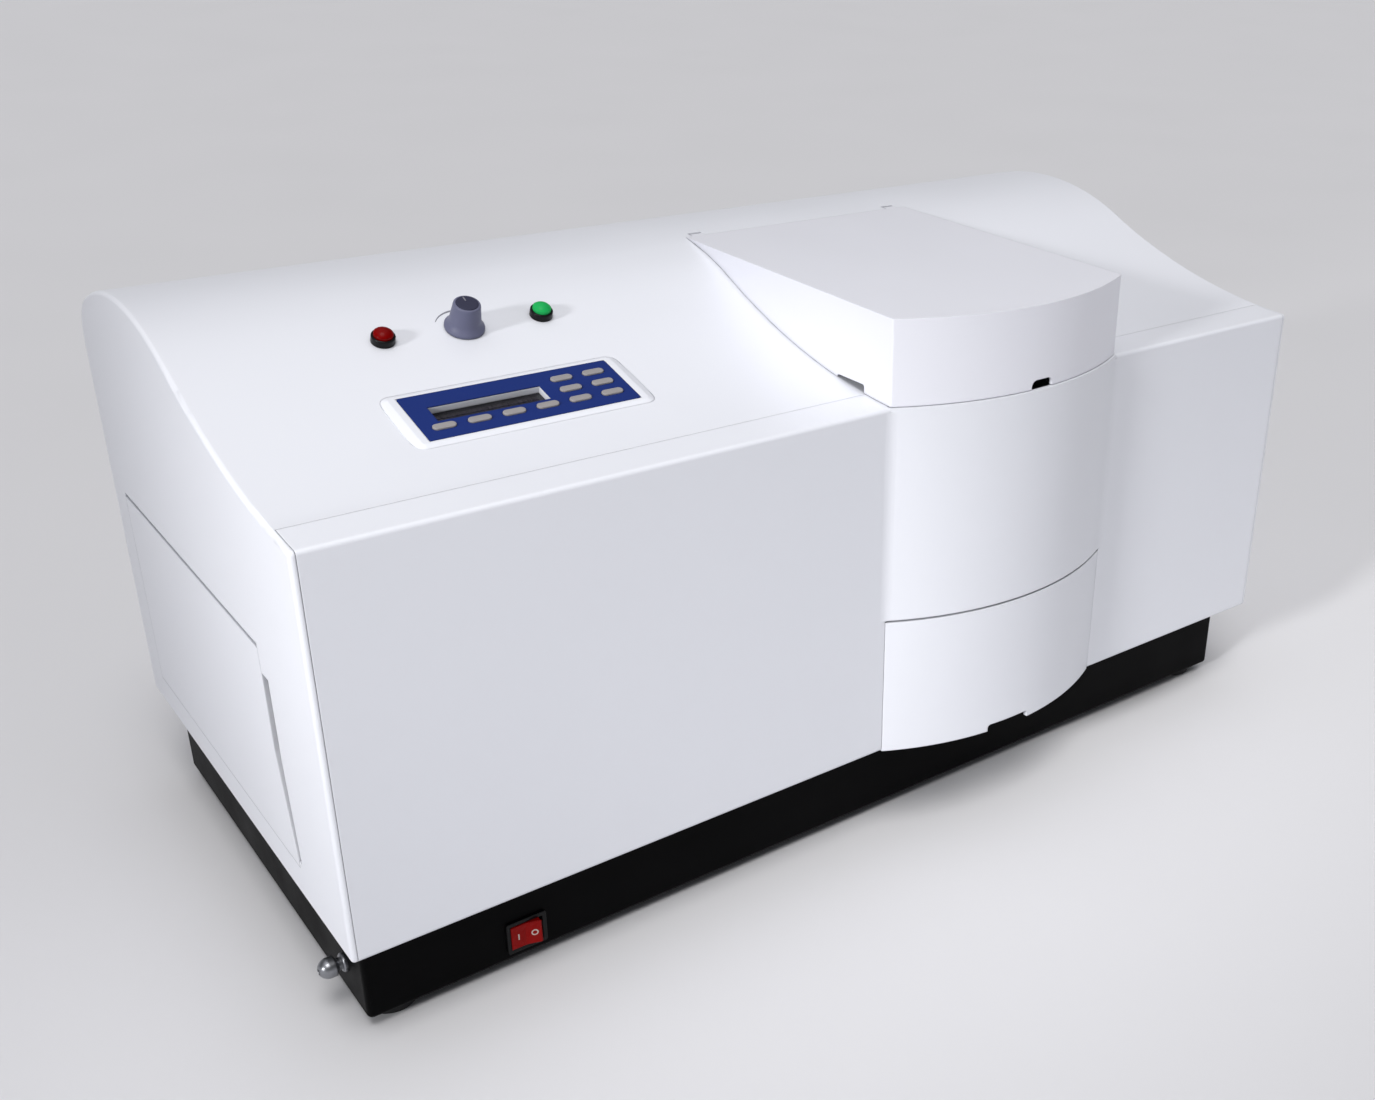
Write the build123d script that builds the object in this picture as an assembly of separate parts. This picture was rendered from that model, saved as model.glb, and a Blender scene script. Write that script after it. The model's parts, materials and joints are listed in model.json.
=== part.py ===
from build123d import *
import os
from math import atan2, cos, hypot, radians, sin, sqrt, tan

# Particle size analyzer for the laboratory bench, in millimetres.
# X runs from left to right, Y from front to back, and Z up from the bench top.
# While it is modelled, X = 0 and Y = 0 are the middle of the white housing.

# White housing: roof in an S-shaped curve, flat front, sides and back
shell_width = 900.0
shell_depth = 450.0
shell_skin = 4.0
shell_edge_round = 3.0
front_height = 293.5
crest_height = 368.7
crest_from_back = 131.0
crest_radius = 250.0
steepest_slope = radians(25.0)
rear_radius = 45.0
roof_seam_from_front = 32.0
panel_gap = 0.3

# Black base tray, its feet and the deck that closes it
foot_height = 10.0
foot_radius = 18.0
foot_from_tray_side = 25.0
foot_from_tray_end = 26.0
tray_height = 73.0
tray_side_inset = 13.0
tray_front_inset = 27.0
tray_rear_inset = 20.0
tray_wall = 3.0
tray_corner_radius = 4.5
tray_bottom_round = 3.8
tray_rim_width = 12.0
tray_rim_thickness = 2.0
tray_rise_into_shell = 12.0
deck_thickness = 3.0
deck_clearance = 0.3
vent_slot_count = 9
vent_slot_width = 4.0
vent_slot_height = 34.0
vent_slot_pitch = 12.0
vent_slots_from_right = 187.0

# Curved sample tower at the right of the front, with the lid on top
tower_from_right = 342.0
tower_half_width = 119.0
tower_bulge = 30.0
tower_blend_radius = 20.0
tower_seam_height = 119.0
tower_seam_gap = 1.8
cover_notch_width = 44.0
cover_notch_height = 6.0
cover_notch_offset = -6.0
cover_hook_width = 30.0
cover_hook_height = 10.0
cover_hook_offset = 70.0

# Lid of the sample chamber
lid_skin = 3.0
lid_side_gap = 0.5
lid_front_setback = 2.0
lid_roof_gap = 0.4
lid_front_height = 359.5
hinge_ahead_of_crest = 35.5
lid_rear_from_hinge = 4.5
lid_rear_height = 366.3
lid_notch_width = 22.0
lid_notch_height = 7.0
lid_notch_offset = 7.0
lid_notch_round = 5.0
lid_side_notch_width = 33.0
lid_side_notch_height = 5.0
lid_side_notch_from_front = 50.0
lid_edge_round = 2.5
gasket_thickness = 3.0
gasket_height = 12.0
gasket_gap = 1.2
ledge_width = 14.0
opening_ahead_of_hinge = 34.5
hinge_depth_under_roof = 2.8
hinge_from_lid_side = 14.0
knuckle_radius = 3.2
knuckle_width = 12.0
knuckle_arm_length = 12.5
hinge_pin_radius = 1.5
hinge_pin_clearance = 0.06
hinge_pin_grip = 4.0
hinge_side_gap = 0.4
hinge_lug_depth = 11.0
hinge_lug_width = 6.0

# Side access panel with its tapered finger slot
side_panel_from_back = 37.0
side_panel_from_front = 100.0
side_panel_from_bottom = 27.0
side_panel_height = 162.5
side_panel_gap = 0.6
side_groove = 3.5
slot_below_panel_top = 17.5
slot_above_panel_bottom = 5.0
slot_straight_length = 60.0
slot_top_width = 13.0
slot_bottom_width = 6.0
slot_bottom_forward = 14.0
frame_overlap = 8.0
frame_thickness = 3.0

# Rear panel, screws, fan and mains inlet
rear_opening_from_side = 70.0
rear_opening_from_bottom = 29.0
rear_opening_height = 190.0
rear_panel_overlap = 12.0
rear_panel_thickness = 2.0
screw_head_radius = 4.0
screw_head_height = 1.8
screw_shank_radius = 1.75
screw_length = 8.0
screw_hole_clearance = 0.3
screw_columns = 5
fan_from_right = 250.0
fan_above_shell_bottom = 122.0
fan_size = 80.0
fan_depth = 25.0
fan_bore_radius = 38.0
fan_hub_radius = 18.0
fan_blade_count = 7
fan_blade_radius = 36.5
fan_blade_thickness = 1.6
fan_axle_radius = 2.5
fan_axle_clearance = 0.1
fan_slot_count = 7
fan_bar_width = 2.5
inlet_from_left = 120.0
inlet_above_shell_bottom = 67.0
inlet_width = 28.0
inlet_height = 20.0
inlet_depth = 26.0
inlet_wall = 3.0
inlet_flange_margin = 7.0
inlet_flange_thickness = 2.4
inlet_recess = 17.0
inlet_pin_length = 12.0
cutout_gap = 0.3

# Keypad with its display, on a low boss on the roof
keypad_from_left = 204.5
keypad_from_front = 118.5
keypad_width = 158.0
keypad_height = 54.8
keypad_thickness = 0.8
keypad_proud = 0.1
boss_margin_x = 11.5
boss_margin_y = 8.5
boss_height = 2.5
boss_slope_width = 6.0
boss_slope_height = 2.0
boss_corner_radius = 9.0
boss_inner_depth = 3.2
boss_hole_width = 152.0
boss_hole_height = 48.0
boss_hole_gap = 0.5
display_x = -22.7
display_y = 2.0
display_width = 83.0
display_height = 18.0
display_glass_margin = 2.0
display_glass_thickness = 1.2
key_pitch_x = 25.2
key_pitch_y = 14.3
key_row_y = -14.0
key_width = 16.6
key_height = 6.3
key_clearance = 0.3
key_proud = 1.2
key_length_below = 5.0
key_columns = 6
short_row_columns = (4, 5)
board_gap_below_keys = 0.8
board_thickness = 1.6
board_width = 148.0
board_height = 44.0
board_post_radius = 2.5
board_post_x = 70.5
board_post_y = 19.0
display_module_thickness = 2.2

# Push buttons and speed knob
control_from_front = 207.0
knob_from_left = 205.5
button_spacing = 61.0
bezel_radius = 8.5
bezel_height = 5.6
bezel_barrel_radius = 7.9
bezel_barrel_depth = 14.0
bezel_floor = 2.0
bezel_nut_radius = 10.5
bezel_nut_thickness = 3.0
bezel_roof_gap = 0.1
cap_radius = 6.9
cap_clearance = 0.2
cap_length_below = 8.0
cap_side_height = 7.5
cap_top_height = 10.5
knob_skirt_radius = 14.5
knob_skirt_height = 1.8
knob_body_radius = 11.3
knob_body_start = 8.5
knob_top_radius = 9.7
knob_height = 21.2
knob_top_round = 1.2
knob_roof_gap = 0.8
spindle_radius = 3.0
spindle_clearance = 0.05
spindle_length = 12.0
pot_radius = 12.0
pot_depth = 10.0
pot_bushing_radius = 4.9
pot_bushing_proud = 0.5

# Mains rocker switch in the front of the tray
rocker_from_left = 119.0
rocker_above_tray_bottom = 20.0
rocker_width = 23.0
rocker_height = 19.0
rocker_tilt = 9.0
rocker_front = 9.5
rocker_valley = 7.8
rocker_waist = 10.6
rocker_end_gap = 0.9
rocker_clearance = 0.4
rocker_pivot_depth = 5.0
rocker_pivot_radius = 1.5
rocker_pivot_length = 0.9
rocker_pivot_clearance = 0.06
switch_wall = 1.35
switch_depth = 20.0
switch_flange_margin = 1.8
switch_flange_thickness = 2.0

# Drain nozzle in the left side of the tray
nozzle_from_front = 36.0
nozzle_above_tray_bottom = 28.0
nozzle_flange_radius = 7.0
nozzle_flange_thickness = 3.0
nozzle_neck_radius = 4.5
nozzle_neck_length = 4.5
nozzle_body_radius = 7.5
nozzle_body_length = 4.0
nozzle_bore_radius = 2.5
nozzle_hole_clearance = 0.2
spigot_radius = 5.0
spigot_bore_radius = 3.5
spigot_length = 14.0
spigot_grip = 10.0
hose_radius = 8.0

# Sample chamber: insert, bath, ultrasonic transducer, stirrer and pump
insert_wall = 2.5
insert_floor_above_deck = 221.0
insert_floor_thickness = 3.0
insert_side_gap = 3.0
insert_leg_radius = 7.0
insert_leg_inset = 14.0
bath_left_of_tower_middle = 24.0
bath_from_front = 107.0
bath_radius = 59.0
bath_wall = 1.5
bath_depth = 103.0
bath_rim_radius = 66.0
bath_hole_gap = 0.3
bath_outlet_x = -28.0
bath_return_drop = 23.0
transducer_x = 20.0
transducer_radius = 21.0
transducer_disc = 10.0
transducer_horn_radius = 16.0
transducer_length = 40.0
stirrer_column_from_bath = 91.0
stirrer_column_width = 20.0
stirrer_column_depth = 30.0
stirrer_arm_above_bath = 65.0
stirrer_arm_thickness = 8.0
stirrer_arm_overhang = 20.0
stirrer_foot_width = 34.0
stirrer_foot_thickness = 4.0
stirrer_motor_radius = 18.0
stirrer_motor_height = 40.0
stirrer_shaft_radius = 3.0
stirrer_shaft_clearance = 0.08
stirrer_shaft_in_motor = 12.0
stirrer_tip_above_bath_floor = 14.5
stirrer_hub_radius = 6.0
stirrer_hub_height = 12.0
stirrer_blade_length = 20.0
stirrer_blade_thickness = 1.6
stirrer_blade_count = 4
pump_motor_radius = 30.0
pump_motor_height = 40.0
pump_head_radius = 39.0
pump_head_height = 24.0
pump_wall = 3.0
pump_inlet_height = 14.0
pump_port_offset = 28.0
pump_impeller_radius = 30.0
pump_impeller_gap = 1.5
pump_hub_radius = 7.0
pump_axle_radius = 3.0
pump_axle_clearance = 0.08
pump_blade_count = 6

# Optical bench along the back of the deck
bench_from_back = 115.0
bench_from_side = 25.0
bench_width = 60.0
bench_height = 30.0
bench_slot_width = 8.0
bench_slot_depth = 10.0
mount_radius = 15.0
mount_height = 12.0
mount_from_bench_end = 45.0
mount_y_offset = 15.0
beam_above_bench = 55.0
barrel_radius = 22.0
clamp_width = 60.0
clamp_thickness = 12.0
clamp_top_margin = 8.0
laser_from_bench_end = 15.0
laser_length = 260.0
laser_clamp_inset = 40.0
laser_aperture_radius = 3.0
laser_aperture_depth = 20.0
expander_gap = 20.0
expander_length = 70.0
expander_clamp_inset = 35.0
expander_neck_radius = 14.0
expander_neck_length = 22.0
expander_bore_radius = 11.0
lens_barrel_gap = 18.0
lens_barrel_length = 50.0
lens_radius = 19.0
lens_thickness = 8.0
lens_curve_radius = 60.0
lens_seat_width = 2.0
cell_gap = 38.0
cell_thickness = 24.0
cell_width = 90.0
cell_height = 110.0
cell_bore_radius = 16.0
window_radius = 22.0
window_thickness = 4.0
cell_port_drop = 30.0
detector_from_bench_end = 70.0
detector_base_length = 50.0
detector_base_width = 80.0
detector_base_height = 12.0
slide_width = 20.0
slide_depth = 5.0
slide_clearance = 0.1
carriage_length = 40.0
carriage_width = 60.0
carriage_height = 8.0
detector_plate_thickness = 4.0
detector_plate_size = 76.0
detector_disc_radius = 24.0
detector_disc_thickness = 3.0

# Electronics in the tray
supply_from_left = 57.0
supply_from_front = 100.0
supply_length = 180.0
supply_width = 96.0
supply_height = 42.0
supply_wall = 1.5
supply_slot_count = 10
supply_slot_pitch = 16.0
supply_slot_width = 6.0
supply_slot_margin = 10.0
board_from_supply = 110.0
board_from_rear = 105.0
control_board_length = 220.0
control_board_width = 140.0
control_board_rise = 12.0
processor_x = -60.0
processor_y = 20.0
processor_side = 30.0
processor_height = 4.0
driver_x = 10.0
driver_y = 30.0
driver_side = 24.0
driver_height = 3.0
connector_x = 60.0
connector_y = -30.0
connector_length = 40.0
connector_width = 16.0
connector_height = 12.0
relay_x = -50.0
relay_y = -40.0
relay_length = 20.0
relay_width = 40.0
relay_height = 14.0
capacitor_count = 4
capacitor_x = 53.0
capacitor_y = 5.0
capacitor_pitch = 22.0
capacitor_radius = 7.0
capacitor_height = 18.0
boss_radius = 4.0
hose_hole_from_pump = 184.0
hose_hole_behind_nozzle = 10.0
hose_hole_radius = 30.0
lead_hole_length = 80.0
lead_hole_width = 40.0
lead_hole_from_back = 50.0

# Places that follow from the sizes above
tray_bottom = foot_height
shell_bottom = foot_height + tray_height
tray_top = shell_bottom + tray_rise_into_shell
deck_top = tray_top + deck_thickness
front_top = shell_bottom + front_height
crest_top = shell_bottom + crest_height
tower_seam = shell_bottom + tower_seam_height
shell_left = -shell_width / 2
shell_front = -shell_depth / 2
rear_face = shell_depth / 2
rear_panel_face = rear_face + rear_panel_thickness
tray_left = shell_left + tray_side_inset
tray_front = shell_front + tray_front_inset
tray_rear = rear_face - tray_rear_inset
seam_y = shell_front + roof_seam_from_front
vent_slot_x = -tray_left - vent_slots_from_right
crest_y = rear_face - crest_from_back
hinge_y = crest_y - hinge_ahead_of_crest
lid_rear_y = hinge_y - lid_rear_from_hinge
opening_rear_y = hinge_y - opening_ahead_of_hinge
lid_side_notch_y = shell_front + lid_side_notch_from_front
tower_x = -shell_left - tower_from_right
side_panel_rear_y = rear_face - side_panel_from_back
side_panel_front_y = shell_front + side_panel_from_front
side_panel_bottom = shell_bottom + side_panel_from_bottom
side_panel_top = side_panel_bottom + side_panel_height
slot_top = side_panel_top - slot_below_panel_top
slot_bottom = side_panel_bottom + slot_above_panel_bottom
rear_opening_half_width = -shell_left - rear_opening_from_side
rear_opening_bottom = shell_bottom + rear_opening_from_bottom
rear_opening_top = rear_opening_bottom + rear_opening_height
fan_x = -shell_left - fan_from_right
fan_z = shell_bottom + fan_above_shell_bottom
inlet_x = shell_left + inlet_from_left
inlet_z = shell_bottom + inlet_above_shell_bottom
keypad_x = shell_left + keypad_from_left
keypad_y = shell_front + keypad_from_front
control_y = shell_front + control_from_front
knob_x = shell_left + knob_from_left
rocker_x = tray_left + rocker_from_left
rocker_z = tray_bottom + rocker_above_tray_bottom
nozzle_y = tray_front + nozzle_from_front
nozzle_z = tray_bottom + nozzle_above_tray_bottom
insert_floor_top = deck_top + insert_floor_above_deck
bath_x = tower_x - bath_left_of_tower_middle
bath_y = shell_front + bath_from_front
bath_bottom = insert_floor_top - bath_depth
return_z = insert_floor_top - bath_return_drop
stirrer_column_x = bath_x + stirrer_column_from_bath
stirrer_arm_bottom = insert_floor_top + stirrer_arm_above_bath
stirrer_arm_top = stirrer_arm_bottom + stirrer_arm_thickness
stirrer_tip_height = bath_bottom + bath_wall + stirrer_tip_above_bath_floor
pump_x = bath_x + bath_outlet_x
pump_head_bottom = deck_top + pump_motor_height
pump_head_top = pump_head_bottom + pump_head_height
pump_port_z = pump_head_bottom + pump_head_height / 2
pump_inlet_top = pump_head_top + pump_inlet_height
bench_y = rear_face - bench_from_back
bench_half_length = -shell_left - bench_from_side
bench_top = deck_top + mount_height + bench_height
beam_height = bench_top + beam_above_bench
mount_x = bench_half_length - mount_from_bench_end
laser_start = -bench_half_length + laser_from_bench_end
laser_end = laser_start + laser_length
expander_start = laser_end + expander_gap
expander_end = expander_start + expander_length
cell_x = expander_end + cell_gap + cell_thickness / 2
lens_barrel_start = cell_x + cell_thickness / 2 + lens_barrel_gap
lens_barrel_end = lens_barrel_start + lens_barrel_length
clamp_places = (
    laser_start + laser_clamp_inset, laser_end - laser_clamp_inset,
    expander_end - expander_clamp_inset, (lens_barrel_start + lens_barrel_end) / 2,
)
detector_x = bench_half_length - detector_from_bench_end
cell_bottom = bench_top
cell_front = bench_y - cell_width / 2
cell_low_port = cell_bottom + cell_port_drop
cell_high_port = cell_bottom + cell_height - cell_port_drop
supply_x = tray_left + supply_from_left + supply_length / 2
supply_y = tray_front + supply_from_front + supply_width / 2
board_x = supply_x + supply_length / 2 + board_from_supply + control_board_length / 2
board_y = tray_rear - board_from_rear - control_board_width / 2
hose_hole_x = pump_x - hose_hole_from_pump

LOW = (Align.CENTER, Align.CENTER, Align.MIN)
MIN = (Align.MIN, Align.MIN, Align.MIN)
CENTRE = (Align.CENTER, Align.CENTER, Align.CENTER)


def block(x0, x1, y0, y1, z0, z1):
    """Box between two corners."""
    return Pos(x0, y0, z0) * Box(x1 - x0, y1 - y0, z1 - z0, align=MIN)


def rod_x(x0, x1, y, z, radius):
    """Cylinder along X."""
    return Pos(x0, y, z) * Rot(0, 90, 0) * Cylinder(radius, x1 - x0, align=LOW)


def rod_y(x, y0, y1, z, radius):
    """Cylinder along Y."""
    return Pos(x, y0, z) * Rot(-90, 0, 0) * Cylinder(radius, y1 - y0, align=LOW)


def rod_z(x, y, z0, z1, radius):
    """Upright cylinder."""
    return Pos(x, y, z0) * Cylinder(radius, z1 - z0, align=LOW)


def joined(shapes):
    """Union of a list of shapes, which may also lie apart."""
    total = shapes[0]
    for shape in shapes[1:]:
        total = total + shape
    return total


# Roof curve: hollow arc at the front, crest arc, then a rounding into the back
crest_centre = (crest_y, crest_top - crest_radius)
steep_normal = (-sin(steepest_slope), cos(steepest_slope))
inflection = (
    crest_centre[0] + crest_radius * steep_normal[0],
    crest_centre[1] + crest_radius * steep_normal[1],
)
to_front = (shell_front - inflection[0], front_top - inflection[1])
hollow_radius = (to_front[0] ** 2 + to_front[1] ** 2) / (
    2 * (to_front[0] * steep_normal[0] + to_front[1] * steep_normal[1])
)
hollow_centre = (
    inflection[0] + hollow_radius * steep_normal[0],
    inflection[1] + hollow_radius * steep_normal[1],
)
rear_centre_y = shell_depth / 2 - rear_radius
rear_centre = (
    rear_centre_y,
    crest_centre[1] + sqrt((crest_radius - rear_radius) ** 2 - (rear_centre_y - crest_y) ** 2),
)
turn_angle = atan2(rear_centre[1] - crest_centre[1], rear_centre[0] - crest_centre[0])


def on_circle(centre, radius, angle):
    """Point of a circle in the YZ plane."""
    return (centre[0] + radius * cos(angle), centre[1] + radius * sin(angle))


def roof_z(y, inset=0.0):
    """Height of the roof at y, or of the surface that lies inset below it."""
    if y <= inflection[0] - inset * steep_normal[0]:
        return hollow_centre[1] - sqrt((hollow_radius + inset) ** 2 - (y - hollow_centre[0]) ** 2)
    if y <= on_circle(crest_centre, crest_radius - inset, turn_angle)[0]:
        return crest_centre[1] + sqrt((crest_radius - inset) ** 2 - (y - crest_y) ** 2)
    return rear_centre[1] + sqrt((rear_radius - inset) ** 2 - (y - rear_centre[0]) ** 2)


def roof_slope(y):
    """Angle of the roof at y, positive where it climbs towards the back."""
    if y <= inflection[0]:
        return atan2(y - hollow_centre[0], hollow_centre[1] - roof_z(y))
    return atan2(crest_y - y, roof_z(y) - crest_centre[1])


def under_roof(inset, half_width, bottom):
    """Solid below the roof, drawn in by inset, as wide as asked and down to bottom."""
    front_y = shell_front + inset
    back_y = shell_depth / 2 - inset
    steep_angle = atan2(steep_normal[1], steep_normal[0])
    start = (front_y, roof_z(front_y, inset))
    bend = on_circle(crest_centre, crest_radius - inset, steep_angle)
    hollow_y = (front_y + bend[0]) / 2
    turn = on_circle(crest_centre, crest_radius - inset, turn_angle)
    outline = Line((front_y, bottom), start)
    outline += ThreePointArc(start, (hollow_y, roof_z(hollow_y, inset)), bend)
    crest = on_circle(crest_centre, crest_radius - inset, (steep_angle + turn_angle) / 2)
    outline += ThreePointArc(bend, crest, turn)
    shoulder = on_circle(rear_centre, rear_radius - inset, turn_angle / 2)
    outline += ThreePointArc(turn, shoulder, (back_y, rear_centre[1]))
    outline += Line((back_y, rear_centre[1]), (back_y, bottom))
    outline += Line((back_y, bottom), (front_y, bottom))
    return extrude(Plane.YZ * make_face(outline), half_width, both=True)


def roof_plane(x, y):
    """Plane that lies on the roof at x, y, with its own Y axis up the slope."""
    slope = roof_slope(y)
    return Plane(origin=(x, y, roof_z(y)), x_dir=(1, 0, 0), z_dir=(0, -sin(slope), cos(slope)))


# Circle of the sample tower in plan
tower_radius = (tower_half_width ** 2 + tower_bulge ** 2) / (2 * tower_bulge)
tower_centre_y = shell_front - tower_bulge + tower_radius


def tower_plan(half_width, radius, rear_y):
    """Plan of the tower: straight sides and back, and a front on the tower's circle."""
    left = tower_x - half_width
    right = tower_x + half_width
    side_y = tower_centre_y - sqrt(radius ** 2 - half_width ** 2)
    outline = Line((left, rear_y), (left, side_y))
    outline += ThreePointArc((left, side_y), (tower_x, tower_centre_y - radius), (right, side_y))
    outline += Line((right, side_y), (right, rear_y))
    outline += Line((right, rear_y), (left, rear_y))
    return make_face(outline)


def tower_prism(half_width, radius, rear_y, z0, z1):
    """Upright prism over the tower's plan."""
    return extrude(Pos(0, 0, z0) * tower_plan(half_width, radius, rear_y), z1 - z0)


def tower_blend(side, z0, z1):
    """Concave rounding between the tower's front and the front panel, left or right."""
    radius = tower_radius + tower_blend_radius
    depth = tower_centre_y - shell_front + tower_blend_radius
    centre_x = tower_x + side * sqrt(radius ** 2 - depth ** 2)
    share = tower_radius / radius
    on_panel = (centre_x, shell_front)
    on_tower = (tower_x + (centre_x - tower_x) * share, tower_centre_y - depth * share)
    half_turn = (atan2(centre_x - tower_x, depth)) / 2
    middle = (
        centre_x - tower_blend_radius * sin(half_turn),
        shell_front - tower_blend_radius + tower_blend_radius * cos(half_turn),
    )
    inner_y = shell_front + shell_skin / 4
    outline = Line((on_tower[0], inner_y), (centre_x, inner_y))
    outline += Line((centre_x, inner_y), on_panel)
    outline += ThreePointArc(on_panel, middle, on_tower)
    outline += Line(on_tower, (on_tower[0], inner_y))
    return extrude(Pos(0, 0, z0) * make_face(outline), z1 - z0)


def rounded_housing():
    """Outer body of the housing with its rounded edges."""
    body = under_roof(0.0, shell_width / 2, shell_bottom)

    def outer_edge(edge):
        middle = edge.center()
        on_end = abs(abs(middle.X) - shell_width / 2) < 0.01
        front_ridge = abs(middle.Y - shell_front) < 0.01 and middle.Z > front_top - 1
        at_bottom = middle.Z < shell_bottom + 0.01
        return on_end or front_ridge or at_bottom

    return fillet(body.edges().filter_by(outer_edge), shell_edge_round)


housing_body = rounded_housing()
housing_skin = housing_body - under_roof(shell_skin, shell_width / 2 - shell_skin, shell_bottom - 1)
inner_half_width = shell_width / 2 - shell_skin
opening_half_width = tower_half_width - ledge_width
hinge_reach = tower_half_width - hinge_from_lid_side
hinge_x = (tower_x - hinge_reach, tower_x + hinge_reach)
hinge_z = roof_z(hinge_y) - hinge_depth_under_roof


def side_opening(grow, front_shift):
    """Outline of the side panel in Y and Z, grown all round and with its own front edge."""
    front_top_y = side_panel_front_y - front_shift - grow
    low_y = side_panel_front_y - slot_bottom_forward - grow
    outline = Polyline(
        (side_panel_rear_y + grow, side_panel_bottom - grow),
        (side_panel_rear_y + grow, side_panel_top + grow),
        (front_top_y, side_panel_top + grow),
        (front_top_y, slot_top - slot_straight_length),
        (low_y, slot_bottom),
        (low_y, side_panel_bottom - grow),
        close=True,
    )
    return make_face(outline)


def side_slot():
    """Tapered finger slot in front of the side panel."""
    top_y = side_panel_front_y - slot_top_width
    low_y = side_panel_front_y - slot_bottom_forward
    outline = Polyline(
        (side_panel_front_y + 1.0, slot_top),
        (top_y, slot_top),
        (top_y, slot_top - slot_straight_length),
        (low_y - slot_bottom_width, slot_bottom),
        (low_y + 1.0, slot_bottom),
        (side_panel_front_y + 1.0, slot_top - slot_straight_length),
        close=True,
    )
    return make_face(outline)


def from_left(face, x0, x1):
    """Prism from x0 to x1 over a face given in Y and Z."""
    return Pos(x0, 0, 0) * extrude(Plane.YZ * face, x1 - x0)


def screw_places():
    """Centres of the rear panel's screws in X and Z."""
    places = []
    reach = rear_opening_half_width + rear_panel_overlap / 2
    for column in range(screw_columns):
        x = -reach + 2 * reach * column / (screw_columns - 1)
        places.append((x, rear_opening_bottom - rear_panel_overlap / 2))
        places.append((x, rear_opening_top + rear_panel_overlap / 2))
    return places


def control_places():
    """Centres of the red button, the knob and the green button."""
    return (knob_x - button_spacing, knob_x, knob_x + button_spacing)


def make_top_cover():
    """Roof, sides and back of the housing in one moulding."""
    cover = housing_skin
    half = inner_half_width
    cover -= block(-half, half, -shell_depth, seam_y, 0, crest_top)
    left = tower_x - opening_half_width
    right = tower_x + opening_half_width
    cover -= block(left, right, -shell_depth, opening_rear_y, front_top - 20, crest_top + 5)

    # Lugs for the lid hinges, thick enough to hold the pins
    for x in hinge_x:
        reach = knuckle_width / 2 + hinge_side_gap + hinge_lug_width
        lug = block(x - reach, x + reach, hinge_y - 16, hinge_y + 9, hinge_z - hinge_lug_depth, crest_top)
        cover += lug & under_roof(shell_skin / 2, half, shell_bottom)
        gap = knuckle_width / 2 + hinge_side_gap
        front = hinge_y - knuckle_arm_length - 1.0
        cover -= block(x - gap, x + gap, front, hinge_y + knuckle_radius + 1.5, hinge_z - 5.4, crest_top + 5)
        pin_half = gap + hinge_pin_grip
        cover -= rod_x(x - pin_half, x + pin_half, hinge_y, hinge_z, hinge_pin_radius)

    # Opening for the side panel, with a frame behind it on three sides
    wall_left = -shell_width / 2
    opening = side_opening(side_panel_gap, 0.0)
    cover -= from_left(opening, wall_left - 1, wall_left + shell_skin)
    groove_front = side_panel_front_y
    cover -= block(
        wall_left - 1, wall_left + shell_skin,
        groove_front, side_panel_rear_y + side_panel_gap, side_panel_top, side_panel_top + side_groove,
    )
    cover -= from_left(side_slot(), wall_left - 1, wall_left + shell_skin)
    frame = block(
        wall_left + shell_skin, wall_left + shell_skin + frame_thickness,
        side_panel_front_y + 3, side_panel_rear_y + frame_overlap,
        side_panel_bottom - frame_overlap, side_panel_top + frame_overlap,
    )
    window = block(
        wall_left + shell_skin - 1, wall_left + shell_skin + frame_thickness + 1,
        side_panel_front_y + 3 + frame_overlap, side_panel_rear_y - frame_overlap,
        side_panel_bottom + frame_overlap, side_panel_top - frame_overlap,
    )
    cover += frame - window

    # Back opening and the pilot holes of its screws
    wide = rear_opening_half_width
    cover -= block(-wide, wide, rear_face - 10, rear_face + 1, rear_opening_bottom, rear_opening_top)
    for x, z in screw_places():
        cover -= rod_y(x, rear_face - shell_skin - 1, rear_face + 1, z, screw_shank_radius)

    # Cut-out under the keypad boss and holes for the controls
    hole = Box(boss_hole_width, boss_hole_height, 30, align=CENTRE)
    cover -= roof_plane(keypad_x, keypad_y).location * hole
    for x in control_places():
        radius = pot_bushing_radius if x == knob_x else bezel_barrel_radius
        cover -= roof_plane(x, control_y).location * Cylinder(radius + bezel_roof_gap, 30)

    # Feet inside the corners, which stand on the deck
    for side in (-1, 1):
        for y0, y1 in ((seam_y + 2, seam_y + 32), (rear_face - shell_skin - 30, rear_face - shell_skin)):
            x = side * (half - 10)
            cover += block(x - 10.5, x + 10.5, y0, y1, deck_top, deck_top + 20) & housing_body
    return cover


def make_front_panel():
    """Front of the housing with the upper part of the tower, and a lip over the roof edge."""
    half = inner_half_width - panel_gap
    front = block(-half, half, -shell_depth, seam_y - panel_gap, 0, crest_top)
    skin = housing_skin & front
    left = tower_x - tower_half_width
    right = tower_x + tower_half_width
    skin -= block(left, right, -shell_depth, shell_front + shell_skin + 1, 0, front_top + 5)
    inner_left = tower_x - opening_half_width
    inner_right = tower_x + opening_half_width
    skin -= block(inner_left, inner_right, -shell_depth, 0, 0, crest_top)
    skin -= block(left, inner_left + 1, shell_front + shell_skin, 0, 0, front_top - 10)
    skin -= block(inner_right - 1, right, shell_front + shell_skin, 0, 0, front_top - 10)
    arc = tower_prism(tower_half_width, tower_radius, shell_front + shell_skin, tower_seam, front_top)
    arc -= tower_prism(
        tower_half_width - 0.01, tower_radius - shell_skin, shell_front + 50, tower_seam - 1, front_top + 1
    )
    ends = block(left - 1, left + 3, shell_front, shell_front + shell_skin, tower_seam, front_top - 4)
    ends += block(right - 3, right + 1, shell_front, shell_front + shell_skin, tower_seam, front_top - 4)
    ends += tower_blend(-1, tower_seam, front_top - shell_edge_round)
    ends += tower_blend(1, tower_seam, front_top - shell_edge_round)
    return skin + arc + ends


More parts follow.
